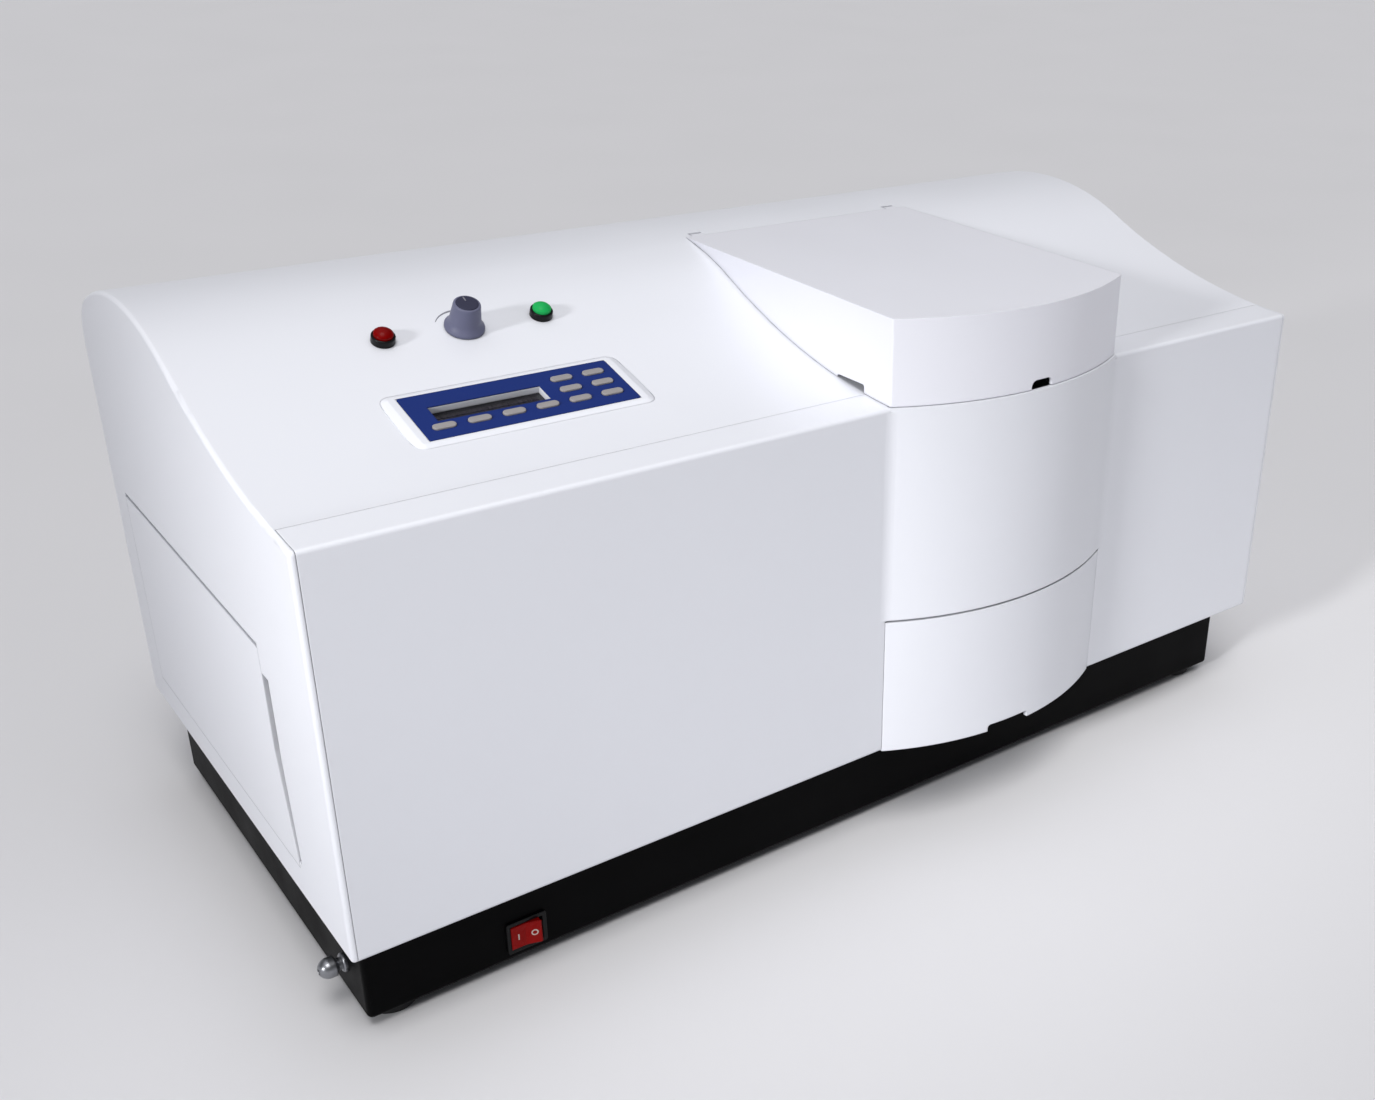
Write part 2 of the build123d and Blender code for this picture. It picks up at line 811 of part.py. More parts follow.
def make_tower_cover():
    """Lower part of the tower, which lifts off for the pump and drain."""
    half = tower_half_width - panel_gap
    z0 = shell_bottom
    z1 = tower_seam - tower_seam_gap
    cover = tower_prism(half, tower_radius, shell_front + shell_skin, z0, z1)
    cover -= tower_prism(half - 0.01, tower_radius - shell_skin, shell_front + 50, z0 - 1, z1 + 1)
    for side in (-1, 1):
        x = tower_x + side * (half - 2.0)
        cover += block(x - 2.0, x + 2.0, shell_front + 0.5, shell_front + shell_skin, z0, z1)
    notch_x = tower_x + cover_notch_offset
    notch = block(
        notch_x - cover_notch_width / 2, notch_x + cover_notch_width / 2,
        -shell_depth, shell_front, z0 - 1, z0 + cover_notch_height,
    )
    cover -= fillet(notch.edges().filter_by(Axis.Y).group_by(Axis.Z)[-1], 3.0)

    # Hooks that reach up behind the edge of the upper tower
    for side in (-1, 1):
        x = tower_x + side * cover_hook_offset
        hook = block(
            x - cover_hook_width / 2, x + cover_hook_width / 2,
            -shell_depth, shell_front, z1 - cover_hook_height, z1 + cover_hook_height,
        )
        inner = tower_radius - shell_skin
        hook &= tower_prism(half, inner - panel_gap, shell_front, z0, z1 + 20)
        hook -= tower_prism(half - 0.01, inner - panel_gap - 3, shell_front + 50, z0 - 1, z1 + 30)
        bridge = block(
            x - cover_hook_width / 2, x + cover_hook_width / 2,
            -shell_depth, shell_front, z1 - cover_hook_height, z1 - 1,
        )
        bridge &= tower_prism(half, inner + 1, shell_front, z0, z1)
        bridge -= tower_prism(half - 0.01, inner - panel_gap - 3, shell_front + 50, z0 - 1, z1 + 1)
        cover += hook + bridge
    return cover


def lid_top_cutter(drop):
    """Everything above the lid's flat top, lowered by drop."""
    front_y = tower_centre_y - tower_radius
    rise = lid_rear_height - lid_front_height
    angle = atan2(rise, lid_rear_y - front_y)
    origin = (tower_x, front_y, shell_bottom + lid_front_height - drop)
    plane = Plane(origin=origin, x_dir=(1, 0, 0), z_dir=(0, -sin(angle), cos(angle)))
    return plane.location * Box(4 * tower_half_width, 2 * shell_depth, 100, align=LOW)


def lid_floor(gap):
    """Everything that the lid has to stay above by gap: the roof and the tower's edge."""
    floor = under_roof(-gap, inner_half_width, shell_bottom)
    reach = 2 * tower_half_width
    edge = block(tower_x - reach, tower_x + reach, -shell_depth, shell_front + 1, tower_seam, front_top + gap)
    return floor + edge


def lid_notches():
    """Notches for fingers and tubing in the lower edge of the lid: front and both sides."""
    x = tower_x + lid_notch_offset
    notch_top = front_top + lid_roof_gap + lid_notch_height
    front_notch = block(
        x - lid_notch_width / 2, x + lid_notch_width / 2,
        -shell_depth, shell_front - 5, front_top - 5, notch_top,
    )
    side_top = roof_z(lid_side_notch_y) + lid_side_notch_height
    side_notch = block(
        tower_x - tower_half_width - 5, tower_x + tower_half_width + 5,
        lid_side_notch_y - lid_side_notch_width / 2, lid_side_notch_y + lid_side_notch_width / 2,
        front_top - 10, side_top,
    )
    front_notch = fillet(front_notch.edges().filter_by(Axis.Y).group_by(Axis.Z)[-1], lid_notch_round)
    return front_notch + fillet(side_notch.edges().filter_by(Axis.X).group_by(Axis.Z)[-1], 2.0)


def make_lid():
    """Lid moulding with its two hinge knuckles."""
    half = tower_half_width - lid_side_gap
    radius = tower_radius - lid_front_setback
    low = front_top - 5
    high = crest_top + 10
    body = tower_prism(half, radius, lid_rear_y, low, high) - lid_top_cutter(0.0)
    corners = body.edges().filter_by(Axis.Z).sort_by(Axis.Y)[:2]
    body = fillet(corners, lid_edge_round)
    hollow = tower_prism(half - lid_skin, radius - lid_skin, opening_rear_y, low - 1, high)
    body -= hollow - lid_top_cutter(lid_skin)
    body -= lid_floor(lid_roof_gap)

    body -= lid_notches()

    # Hinge knuckles
    for x in hinge_x:
        half_knuckle = knuckle_width / 2
        arm = block(
            x - half_knuckle, x + half_knuckle, hinge_y - knuckle_arm_length, hinge_y,
            hinge_z - hinge_pin_radius, roof_z(hinge_y) + 2,
        ) - lid_top_cutter(0.0)
        arm -= block(x - 20, x + 20, lid_rear_y, hinge_y + 5, hinge_z + knuckle_radius, crest_top + 5)
        body += arm + rod_x(x - half_knuckle, x + half_knuckle, hinge_y, hinge_z, knuckle_radius)
    for x in hinge_x:
        body -= rod_x(x - 20, x + 20, hinge_y, hinge_z, hinge_pin_radius + hinge_pin_clearance)
    return body


def make_lid_gasket():
    """Black foam strip inside the lid's walls."""
    half = tower_half_width - lid_side_gap - lid_skin
    radius = tower_radius - lid_front_setback - lid_skin
    low = front_top - 5
    high = crest_top
    inner_half = half - gasket_thickness
    inner_radius = radius - gasket_thickness
    strip = tower_prism(half, radius, opening_rear_y, low, high)
    strip -= tower_prism(inner_half, inner_radius, opening_rear_y + 5, low - 1, high + 1)
    strip &= lid_floor(gasket_gap + gasket_height)
    strip -= lid_top_cutter(lid_skin)
    return strip - lid_floor(gasket_gap) - lid_notches()


def make_hinge_pins():
    """Two steel pins of the lid hinge."""
    reach = knuckle_width / 2 + hinge_side_gap + hinge_pin_grip
    return joined([rod_x(x - reach, x + reach, hinge_y, hinge_z, hinge_pin_radius) for x in hinge_x])


def make_side_panel():
    """Lift-off panel in the left side."""
    x0 = -shell_width / 2
    x1 = x0 + shell_skin - panel_gap
    return from_left(side_opening(0.0, 0.0), x0, x1)


def make_tray():
    """Black base tray with rim, bosses, vents and cut-outs."""
    length = shell_width - 2 * tray_side_inset
    depth = tray_rear - tray_front
    middle_y = (tray_rear + tray_front) / 2
    height = tray_top - tray_bottom
    outer = Pos(0, middle_y, tray_bottom) * Box(length, depth, height, align=LOW)
    outer = fillet(outer.edges().filter_by(Axis.Z), tray_corner_radius)
    outer = fillet(outer.faces().sort_by(Axis.Z)[0].edges(), tray_bottom_round)
    inner = Pos(0, middle_y, tray_bottom + tray_wall) * Box(
        length - 2 * tray_wall, depth - 2 * tray_wall, height - tray_wall - tray_rim_thickness, align=LOW
    )
    inner = fillet(inner.edges().filter_by(Axis.Z), tray_corner_radius - tray_wall)
    inner = fillet(inner.faces().sort_by(Axis.Z)[0].edges(), tray_bottom_round - tray_wall)
    mouth = Pos(0, middle_y, tray_top) * Box(
        length - 2 * tray_rim_width, depth - 2 * tray_rim_width, 3 * tray_rim_thickness, align=CENTRE
    )
    tray = outer - inner - mouth

    # Rocker switch and drain nozzle
    wide = rocker_width / 2 + rocker_end_gap + switch_wall + cutout_gap
    tall = rocker_height / 2 + rocker_clearance + switch_wall + cutout_gap
    tray -= block(
        rocker_x - wide, rocker_x + wide, tray_front - 1, tray_front + tray_wall + 1,
        rocker_z - tall, rocker_z + tall,
    )
    hole = spigot_radius + nozzle_hole_clearance
    tray -= rod_x(tray_left - 1, tray_left + tray_wall + 1, nozzle_y, nozzle_z, hole)

    # Upright vent slots in the back
    vent_z = (tray_bottom + tray_top) / 2
    for index in range(vent_slot_count):
        x = vent_slot_x + (index - (vent_slot_count - 1) / 2) * vent_slot_pitch
        tray -= block(
            x - vent_slot_width / 2, x + vent_slot_width / 2, tray_rear - tray_wall - 1, tray_rear + 1,
            vent_z - vent_slot_height / 2, vent_z + vent_slot_height / 2,
        )

    # Bosses under the control board
    for x, y in board_corners():
        tray += rod_z(x, y, tray_bottom + 1, tray_bottom + tray_wall + control_board_rise, boss_radius)
    return tray


def board_corners():
    """Fixing points of the control board."""
    reach_x = control_board_length / 2 - 2 * boss_radius
    reach_y = control_board_width / 2 - 2 * boss_radius
    return [(board_x + a * reach_x, board_y + b * reach_y) for a in (-1, 1) for b in (-1, 1)]


def make_feet():
    """Four round rubber feet."""
    feet = []
    for x in (tray_left + foot_from_tray_side, -tray_left - foot_from_tray_side):
        for y in (tray_front + foot_from_tray_end, tray_rear - foot_from_tray_end):
            foot = rod_z(x, y, 0, foot_height, foot_radius)
            feet.append(fillet(foot.edges().group_by(Axis.Z)[0], 1.5))
    return joined(feet)


def make_deck():
    """Steel deck that closes the tray and carries everything inside the housing."""
    wide = inner_half_width - deck_clearance
    deep = shell_depth / 2 - shell_skin - deck_clearance
    deck = block(-wide, wide, -deep, deep, tray_top, deck_top)
    inside = tower_radius - shell_skin - deck_clearance
    deck += tower_prism(tower_half_width - shell_skin - 1.5, inside, -deep + 5, tray_top, deck_top)
    hose_hole_y = nozzle_y + hose_hole_behind_nozzle
    deck -= rod_z(hose_hole_x, hose_hole_y, tray_top - 1, deck_top + 1, hose_hole_radius)
    hole_x = supply_x
    hole_rear = rear_face - lead_hole_from_back
    deck -= block(
        hole_x - lead_hole_length / 2, hole_x + lead_hole_length / 2,
        hole_rear - lead_hole_width, hole_rear, tray_top - 1, deck_top + 1,
    )
    return deck


def make_rear_panel():
    """Sheet steel panel on the back with the fan grille and the inlet's cut-out."""
    wide = rear_opening_half_width + rear_panel_overlap
    low = rear_opening_bottom - rear_panel_overlap
    high = rear_opening_top + rear_panel_overlap
    panel = block(-wide, wide, rear_face, rear_panel_face, low, high)
    panel = fillet(panel.edges().filter_by(Axis.Y), 6.0)
    y0 = rear_face - 1
    y1 = rear_panel_face + 1
    grille = rod_y(fan_x, y0, y1, fan_z, fan_bore_radius - 1)
    pitch = 2 * (fan_bore_radius - 1) / fan_slot_count
    for index in range(fan_slot_count):
        z = fan_z + (index - (fan_slot_count - 1) / 2) * pitch
        slot = block(fan_x - fan_size, fan_x + fan_size, y0, y1, z - pitch / 2 + fan_bar_width, z + pitch / 2)
        panel -= grille & slot
    panel -= block(
        inlet_x - inlet_width / 2 - cutout_gap, inlet_x + inlet_width / 2 + cutout_gap,
        rear_face - 1, rear_panel_face + 1,
        inlet_z - inlet_height / 2 - cutout_gap, inlet_z + inlet_height / 2 + cutout_gap,
    )
    for x, z in screw_places():
        hole = screw_shank_radius + screw_hole_clearance
        panel -= rod_y(x, rear_face - 1, rear_panel_face + 1, z, hole)
    return panel


def make_rear_screws():
    """Pan-head screws of the rear panel."""
    screws = []
    for x, z in screw_places():
        head = rod_y(x, rear_panel_face, rear_panel_face + screw_head_height, z, screw_head_radius)
        head = fillet(head.edges().group_by(Axis.Y)[-1], 1.2)
        head -= block(x - 3, x + 3, rear_panel_face + 0.8, rear_panel_face + 5, z - 0.5, z + 0.5)
        head -= block(x - 0.5, x + 0.5, rear_panel_face + 0.8, rear_panel_face + 5, z - 3, z + 3)
        shank = rod_y(x, rear_panel_face - screw_length, rear_panel_face, z, screw_shank_radius)
        screws.append(head + shank)
    return joined(screws)


def make_fan_frame():
    """Fan frame with its hub plate on four struts."""
    y1 = rear_face
    y0 = rear_face - fan_depth
    half = fan_size / 2
    frame = block(fan_x - half, fan_x + half, y0, y1, fan_z - half, fan_z + half)
    frame = fillet(frame.edges().filter_by(Axis.Y), 5.0)
    frame -= rod_y(fan_x, y0 - 1, y1 + 1, fan_z, fan_bore_radius)
    struts = rod_y(fan_x, y0, y0 + 3, fan_z, fan_hub_radius)
    for angle in (45, 135, 225, 315):
        strut = Box(fan_bore_radius + 2, 3, 4, align=(Align.MIN, Align.MIN, Align.CENTER))
        struts += Pos(fan_x, y0, fan_z) * Rot(0, angle, 0) * strut
    struts += rod_y(fan_x, y0, y0 + 12, fan_z, fan_axle_radius)
    return frame + struts


def make_fan_rotor():
    """Fan hub with its blades, turning on the axle of the frame."""
    y0 = rear_face - fan_depth + 4
    y1 = rear_face - 3
    rotor = rod_y(fan_x, y0, y1, fan_z, fan_hub_radius)
    for index in range(fan_blade_count):
        length = fan_blade_radius - fan_hub_radius + 2
        blade = Box(length, fan_blade_thickness, 15, align=(Align.MIN, Align.CENTER, Align.CENTER))
        blade = Pos(fan_hub_radius - 2, 0, 0) * Rot(35, 0, 0) * blade
        turn = Rot(0, 360.0 * index / fan_blade_count, 0)
        rotor += Pos(fan_x, (y0 + y1) / 2, fan_z) * turn * blade
    rotor -= rod_y(fan_x, y0 - 1, y0 + 10, fan_z, fan_axle_radius + fan_axle_clearance)
    return rotor


def make_inlet():
    """Mains inlet with its recess and three pins."""
    half_w = inlet_width / 2
    half_h = inlet_height / 2
    outside = rear_panel_face + inlet_flange_thickness
    body = block(
        inlet_x - half_w, inlet_x + half_w, outside - inlet_depth, outside,
        inlet_z - half_h, inlet_z + half_h,
    )
    flange = block(
        inlet_x - half_w - inlet_flange_margin, inlet_x + half_w + inlet_flange_margin,
        rear_panel_face, outside, inlet_z - half_h - 4, inlet_z + half_h + 4,
    )
    inlet = body + fillet(flange.edges().filter_by(Axis.Y), 3.0)
    recess = block(
        inlet_x - half_w + inlet_wall, inlet_x + half_w - inlet_wall,
        outside - inlet_recess, outside + 1, inlet_z - half_h + inlet_wall, inlet_z + half_h - inlet_wall,
    )
    inlet -= recess
    for x, z in ((-7, -1.5), (7, -1.5), (0, 2.5)):
        inlet += block(
            inlet_x + x - 1, inlet_x + x + 1, outside - inlet_recess - 1,
            outside - inlet_recess + inlet_pin_length, inlet_z + z - 2, inlet_z + z + 2,
        )
    return inlet


def on_keypad(shape):
    """Places a shape that is drawn flat about the keypad's centre, at the roof's level."""
    return roof_plane(keypad_x, keypad_y).location * shape


def slab(width, height, w0, w1):
    """Plate about the centre, from level w0 to level w1."""
    return Pos(0, 0, w0) * Box(width, height, w1 - w0, align=LOW)


def key_places():
    """Key centres on the keypad, row by row: a full row in front, two short ones behind."""
    places = []
    for row, columns in enumerate((range(key_columns), short_row_columns, short_row_columns)):
        for column in columns:
            x = (column - (key_columns - 1) / 2) * key_pitch_x
            places.append((x, key_row_y + row * key_pitch_y))
    return places


def pill(width, height, w0, w1):
    """Round-ended bar from level w0 to level w1."""
    return extrude(Pos(0, 0, w0) * SlotOverall(width, height), w1 - w0)


def make_keypad_boss():
    """Low white boss on the roof that holds the keypad and the display."""
    width = keypad_width + 2 * boss_margin_x
    height = keypad_height + 2 * boss_margin_y
    plate = slab(width, height, -3.0, boss_height)
    plate = fillet(plate.edges().filter_by(Axis.Z), boss_corner_radius)
    plate = chamfer(plate.faces().sort_by(Axis.Z)[-1].edges(), boss_slope_height, boss_slope_width)
    placed = on_keypad(plate) - under_roof(0.0, shell_width, shell_bottom)
    inner_width = boss_hole_width - 2 * boss_hole_gap
    inner_height = boss_hole_height - 2 * boss_hole_gap
    inner = slab(inner_width, inner_height, -boss_inner_depth, boss_height - 1)
    board_top = boss_height - board_drop()
    for x in (-board_post_x, board_post_x):
        for y in (-board_post_y, board_post_y):
            inner += rod_z(x, y, board_top, 0, board_post_radius)
    boss = placed + on_keypad(inner)
    recess = slab(keypad_width + 2 * key_clearance, keypad_height + 2 * key_clearance,
                  boss_height + keypad_proud - keypad_thickness, boss_height + 5)
    cuts = recess + Pos(display_x, display_y, 0) * slab(display_width, display_height, -10, 10)
    for x, y in key_places():
        cuts += Pos(x, y, 0) * pill(key_width + 2 * key_clearance, key_height + 2 * key_clearance, -10, 10)
    return boss - on_keypad(cuts)


def board_drop():
    """Depth of the keypad board's top below the top of the boss."""
    return boss_height + key_length_below + board_gap_below_keys


def make_keypad_membrane():
    """Blue front sheet with openings for the keys and the display."""
    top = boss_height + keypad_proud
    sheet = slab(keypad_width, keypad_height, top - keypad_thickness, top)
    sheet = fillet(sheet.edges().filter_by(Axis.Z), 2.0)
    cuts = Pos(display_x, display_y, 0) * slab(display_width, display_height, -10, 10)
    for x, y in key_places():
        cuts += Pos(x, y, 0) * pill(key_width + 2 * key_clearance, key_height + 2 * key_clearance, -10, 10)
    return on_keypad(sheet - cuts)


def make_key(x, y):
    """One grey key that runs through the membrane and the boss."""
    top = boss_height + keypad_proud + key_proud
    key = pill(key_width, key_height, -key_length_below, top)
    key = fillet(key.faces().sort_by(Axis.Z)[-1].edges(), 0.6)
    return on_keypad(Pos(x, y, 0) * key)


def make_keypad_board():
    """Circuit board under the keys."""
    top = boss_height - board_drop()
    return on_keypad(slab(board_width, board_height, top - board_thickness, top))


def make_display_glass():
    """Smoked window of the display, fixed under the boss."""
    width = display_width + 2 * display_glass_margin
    height = display_height + 2 * display_glass_margin
    top = -boss_inner_depth
    glass = slab(width, height, top - display_glass_thickness, top)
    for x, y in key_places():
        room = pill(key_width + 4 * key_clearance, key_height + 4 * key_clearance, -20, 5)
        glass -= Pos(x - display_x, y - display_y, 0) * room
    return on_keypad(Pos(display_x, display_y, 0) * glass)


def make_display_module():
    """Liquid crystal module on the keypad board, behind its window."""
    base = boss_height - board_drop()
    top = -boss_inner_depth - display_glass_thickness
    module = slab(display_width + 2, display_height + 1, base, top)
    for x, y in key_places():
        room = pill(key_width + 4 * key_clearance, key_height + 4 * key_clearance, -20, 5)
        module -= Pos(x - display_x, y - display_y, 0) * room
    return on_keypad(Pos(display_x, display_y, 0) * module)


def on_roof(x, shape):
    """Places a shape that is drawn upright about a control's centre on the roof."""
    return roof_plane(x, control_y).location * shape


def make_button_bezels():
    """Black bezels of the two push buttons, with barrel and nut."""
    bezels = []
    for x in (control_places()[0], control_places()[2]):
        ring = Pos(0, 0, bezel_roof_gap) * Cylinder(bezel_radius, bezel_height - bezel_roof_gap, align=LOW)
        ring = fillet(ring.edges().group_by(Axis.Z)[-1], 1.0)
        barrel = Cylinder(bezel_barrel_radius, bezel_barrel_depth + 1, align=LOW)
        ring += Pos(0, 0, -bezel_barrel_depth) * barrel
        nut_top = -shell_skin - bezel_roof_gap
        nut = extrude(RegularPolygon(bezel_nut_radius, 6), bezel_nut_thickness)
        ring += Pos(0, 0, nut_top - bezel_nut_thickness) * nut
        bore = cap_radius + cap_clearance
        ring -= Pos(0, 0, bezel_floor - bezel_barrel_depth) * Cylinder(bore, 40, align=LOW)
        bezels.append(on_roof(x, ring))
    return joined(bezels)


def make_button_cap(x):
    """Domed cap of one push button."""
    side = Pos(0, 0, -cap_length_below) * Cylinder(cap_radius, cap_length_below + cap_side_height, align=LOW)
    rise = cap_top_height - cap_side_height
    dome_radius = (cap_radius ** 2 + rise ** 2) / (2 * rise)
    dome = Pos(0, 0, cap_top_height - dome_radius) * Sphere(dome_radius)
    dome &= Pos(0, 0, cap_side_height - 1) * Cylinder(cap_radius, 20, align=LOW)
    return on_roof(x, side + dome)


def make_knob():
    """Grey bell-shaped knob with its skirt and spindle."""
    z0 = knob_roof_gap
    skirt_top = (knob_skirt_radius, z0 + knob_skirt_height)
    body_start = (knob_body_radius, z0 + knob_body_start)
    top = z0 + knob_height
    outline = Line((0, z0), (knob_skirt_radius, z0))
    outline += Line((knob_skirt_radius, z0), skirt_top)
    outline += TangentArc(body_start, skirt_top, tangent=(0, -1))
    outline += Line(body_start, (knob_top_radius, top))
    outline += Line((knob_top_radius, top), (0, top))
    outline += Line((0, top), (0, z0))
    knob = revolve(Plane.XZ * make_face(outline), Axis.Z)
    knob = fillet(knob.edges().group_by(Axis.Z)[-1], knob_top_round)
    spindle = Pos(0, 0, -spindle_length) * Cylinder(spindle_radius, spindle_length + 3, align=LOW)
    return on_roof(knob_x, knob + spindle)


def make_potentiometer():
    """Speed potentiometer under the roof, with its bushing through it."""
    top = -shell_skin - bezel_roof_gap
    body = Pos(0, 0, top - pot_depth) * Cylinder(pot_radius, pot_depth, align=LOW)
    body += Pos(0, 0, top - 1) * Cylinder(pot_bushing_radius, 1 - top + pot_bushing_proud, align=LOW)
    bore = spindle_radius + spindle_clearance
    return on_roof(knob_x, body - Pos(0, 0, -spindle_length - 0.5) * Cylinder(bore, 40, align=LOW))


def make_switch_housing():
    """Black housing of the mains rocker switch."""
    wide = rocker_width / 2 + rocker_end_gap
    tall = rocker_height / 2 + rocker_clearance
    outer_w = wide + switch_wall
    outer_h = tall + switch_wall
    front = tray_front - switch_flange_thickness
    body = block(
        rocker_x - outer_w, rocker_x + outer_w, front, tray_front + switch_depth,
        rocker_z - outer_h, rocker_z + outer_h,
    )
    flange_w = outer_w + switch_flange_margin
    flange_h = outer_h + switch_flange_margin
    flange = block(
        rocker_x - flange_w, rocker_x + flange_w, front, tray_front, rocker_z - flange_h, rocker_z + flange_h
    )
    body += fillet(flange.edges().filter_by(Axis.Y), 2.0)
    body -= block(
        rocker_x - wide, rocker_x + wide, front - 1, tray_front + switch_depth - 3,
        rocker_z - tall, rocker_z + tall,
    )
    pivot_y = tray_front + rocker_pivot_depth
    reach = tall + rocker_pivot_length
    hole = rocker_pivot_radius + rocker_pivot_clearance
    return body - rod_z(rocker_x, pivot_y, rocker_z - reach, rocker_z + reach, hole)


def make_rocker():
    """Red rocker, resting with its left half pressed in."""
    outline = Polyline(
        (-rocker_width / 2, -rocker_front), (0, -rocker_valley), (rocker_width / 2, -rocker_front),
        (rocker_waist, -rocker_front + 1.1), (rocker_waist, 1.0), (3.0, 4.5), (-3.0, 4.5),
        (-rocker_waist, 1.0), (-rocker_waist, -rocker_front + 1.1),
        close=True,
    )
    rocker = extrude(make_face(outline), rocker_height / 2, both=True)
    stub = rocker_height / 2 + rocker_clearance + rocker_pivot_length - 0.1
    rocker += Cylinder(rocker_pivot_radius, 2 * stub)
    return Pos(rocker_x, tray_front + rocker_pivot_depth, rocker_z) * Rot(0, 0, -rocker_tilt) * rocker


def make_nozzle():
    """Drain nozzle, turned about its own axis, with a bore right through."""
    face = -tray_left
    x_flange = face + nozzle_flange_thickness
    x_neck = x_flange + nozzle_neck_length
    x_body = x_neck + nozzle_body_length
    nozzle = rod_x(face, x_flange, 0, 0, nozzle_flange_radius)
    nozzle = chamfer(nozzle.edges().group_by(Axis.X)[-1], 1.0)
    nozzle += rod_x(face - tray_wall - spigot_length, face, 0, 0, spigot_radius)
    nozzle += rod_x(x_flange - 1, x_neck + 1, 0, 0, nozzle_neck_radius)
    nozzle += rod_x(x_neck, x_body, 0, 0, nozzle_body_radius)
    nozzle += Pos(x_body, 0, 0) * Sphere(nozzle_body_radius)
    nozzle -= rod_x(0, shell_width, 0, 0, nozzle_bore_radius)
    return Pos(0, nozzle_y, nozzle_z) * Rot(0, 0, 180) * nozzle


def make_insert():
    """Moulded tray of the sample chamber, on four legs."""
    half = opening_half_width + insert_side_gap
    radius = tower_radius - shell_skin - 2 * panel_gap
    rear = opening_rear_y + insert_side_gap
    low = insert_floor_top - insert_floor_thickness
    body = tower_prism(half, radius, rear, low, crest_top)
    body -= tower_prism(
        half - insert_wall, radius - insert_wall, rear - insert_wall, insert_floor_top, crest_top + 1
    )
    limit = under_roof(shell_skin + panel_gap, inner_half_width, 0)
    limit += block(tower_x - half, tower_x + half, -shell_depth, seam_y, 0, front_top - shell_skin - 1.5)
    body &= limit
    body -= rod_z(bath_x, bath_y, low - 1, insert_floor_top + 1, bath_radius + bath_hole_gap)
    for x, y in insert_legs():
        body += rod_z(x, y, deck_top, low, insert_leg_radius)
    return body


def insert_legs():
    """Centres of the four legs under the sample chamber."""
    half = opening_half_width + insert_side_gap - insert_leg_inset
    front = shell_front + 3 * insert_leg_inset
    rear = opening_rear_y - 3 * insert_leg_inset
    return [(tower_x - half, front), (tower_x + half, front), (tower_x - half, rear), (tower_x + half, rear)]


def make_bath():
    """Stainless sample bath with its rim, outlet and return spigots."""
    bath = rod_z(bath_x, bath_y, bath_bottom, insert_floor_top, bath_radius)
    bath = fillet(bath.edges().group_by(Axis.Z)[0], 10.0)
    bath += rod_z(bath_x, bath_y, insert_floor_top, insert_floor_top + bath_wall, bath_rim_radius)
    bath += rod_z(pump_x, bath_y, bath_bottom - spigot_length, bath_bottom + 1, spigot_radius)
    left = bath_x - bath_radius
    bath += rod_x(left - spigot_length, left + 2, bath_y, return_z, spigot_radius)
    inside = rod_z(bath_x, bath_y, bath_bottom + bath_wall, insert_floor_top + 10, bath_radius - bath_wall)
    inside = fillet(inside.edges().group_by(Axis.Z)[0], 8.5)
    bath -= inside
    bath -= rod_z(pump_x, bath_y, bath_bottom - 40, bath_bottom + 5, spigot_bore_radius)
    return bath - rod_x(left - 40, left + 5, bath_y, return_z, spigot_bore_radius)


def make_transducer():
    """Ultrasonic transducer bonded under the bath."""
    x = bath_x + transducer_x
    disc = rod_z(x, bath_y, bath_bottom - transducer_disc, bath_bottom, transducer_radius)
    return disc + rod_z(x, bath_y, bath_bottom - transducer_length, bath_bottom, transducer_horn_radius)


def make_stirrer_bracket():
    """Column and arm that hold the stirrer motor over the bath."""
    half_w = stirrer_column_width / 2
    half_d = stirrer_column_depth / 2
    x = stirrer_column_x
    y0 = bath_y - half_d
    y1 = bath_y + half_d
    bracket = block(x - half_w, x + half_w, y0, y1, insert_floor_top, stirrer_arm_top)
    arm = block(bath_x - stirrer_arm_overhang, x + half_w, y0, y1, stirrer_arm_bottom, stirrer_arm_top)
    bracket += fillet(arm.edges().filter_by(Axis.Z).group_by(Axis.X)[0], 10.0)
    foot = stirrer_foot_width / 2
    bracket += block(
        x - half_w, x + foot, bath_y - foot, bath_y + foot,
        insert_floor_top, insert_floor_top + stirrer_foot_thickness,
    )
    bore = stirrer_shaft_radius + stirrer_shaft_clearance
    return bracket - rod_z(bath_x, bath_y, stirrer_arm_bottom - 1, stirrer_arm_top + 1, bore)


def make_stirrer_motor():
    """Stirrer motor on the arm."""
    top = stirrer_arm_top + stirrer_motor_height
    motor = rod_z(bath_x, bath_y, stirrer_arm_top, top, stirrer_motor_radius)
    motor = fillet(motor.edges().group_by(Axis.Z)[-1], 2.0)
    bore = stirrer_shaft_radius + stirrer_shaft_clearance
    depth = stirrer_arm_top + stirrer_shaft_in_motor + 1
    return motor - rod_z(bath_x, bath_y, stirrer_arm_top - 1, depth, bore)


def make_stirrer_rotor():
    """Stirrer shaft with its four blades."""
    rotor = rod_z(
        bath_x, bath_y, stirrer_tip_height, stirrer_arm_top + stirrer_shaft_in_motor, stirrer_shaft_radius
    )
    hub_top = stirrer_tip_height + stirrer_hub_height
    rotor += rod_z(bath_x, bath_y, stirrer_tip_height, hub_top, stirrer_hub_radius)
    for index in range(stirrer_blade_count):
        blade = Box(stirrer_blade_length, stirrer_blade_thickness, stirrer_hub_height - 2,
                    align=(Align.MIN, Align.CENTER, Align.CENTER))
        middle = stirrer_tip_height + stirrer_hub_height / 2
        turn = Rot(0, 0, 360.0 * index / stirrer_blade_count)
        rotor += Pos(bath_x, bath_y, middle) * turn * Pos(2, 0, 0) * Rot(30, 0, 0) * blade
    return rotor


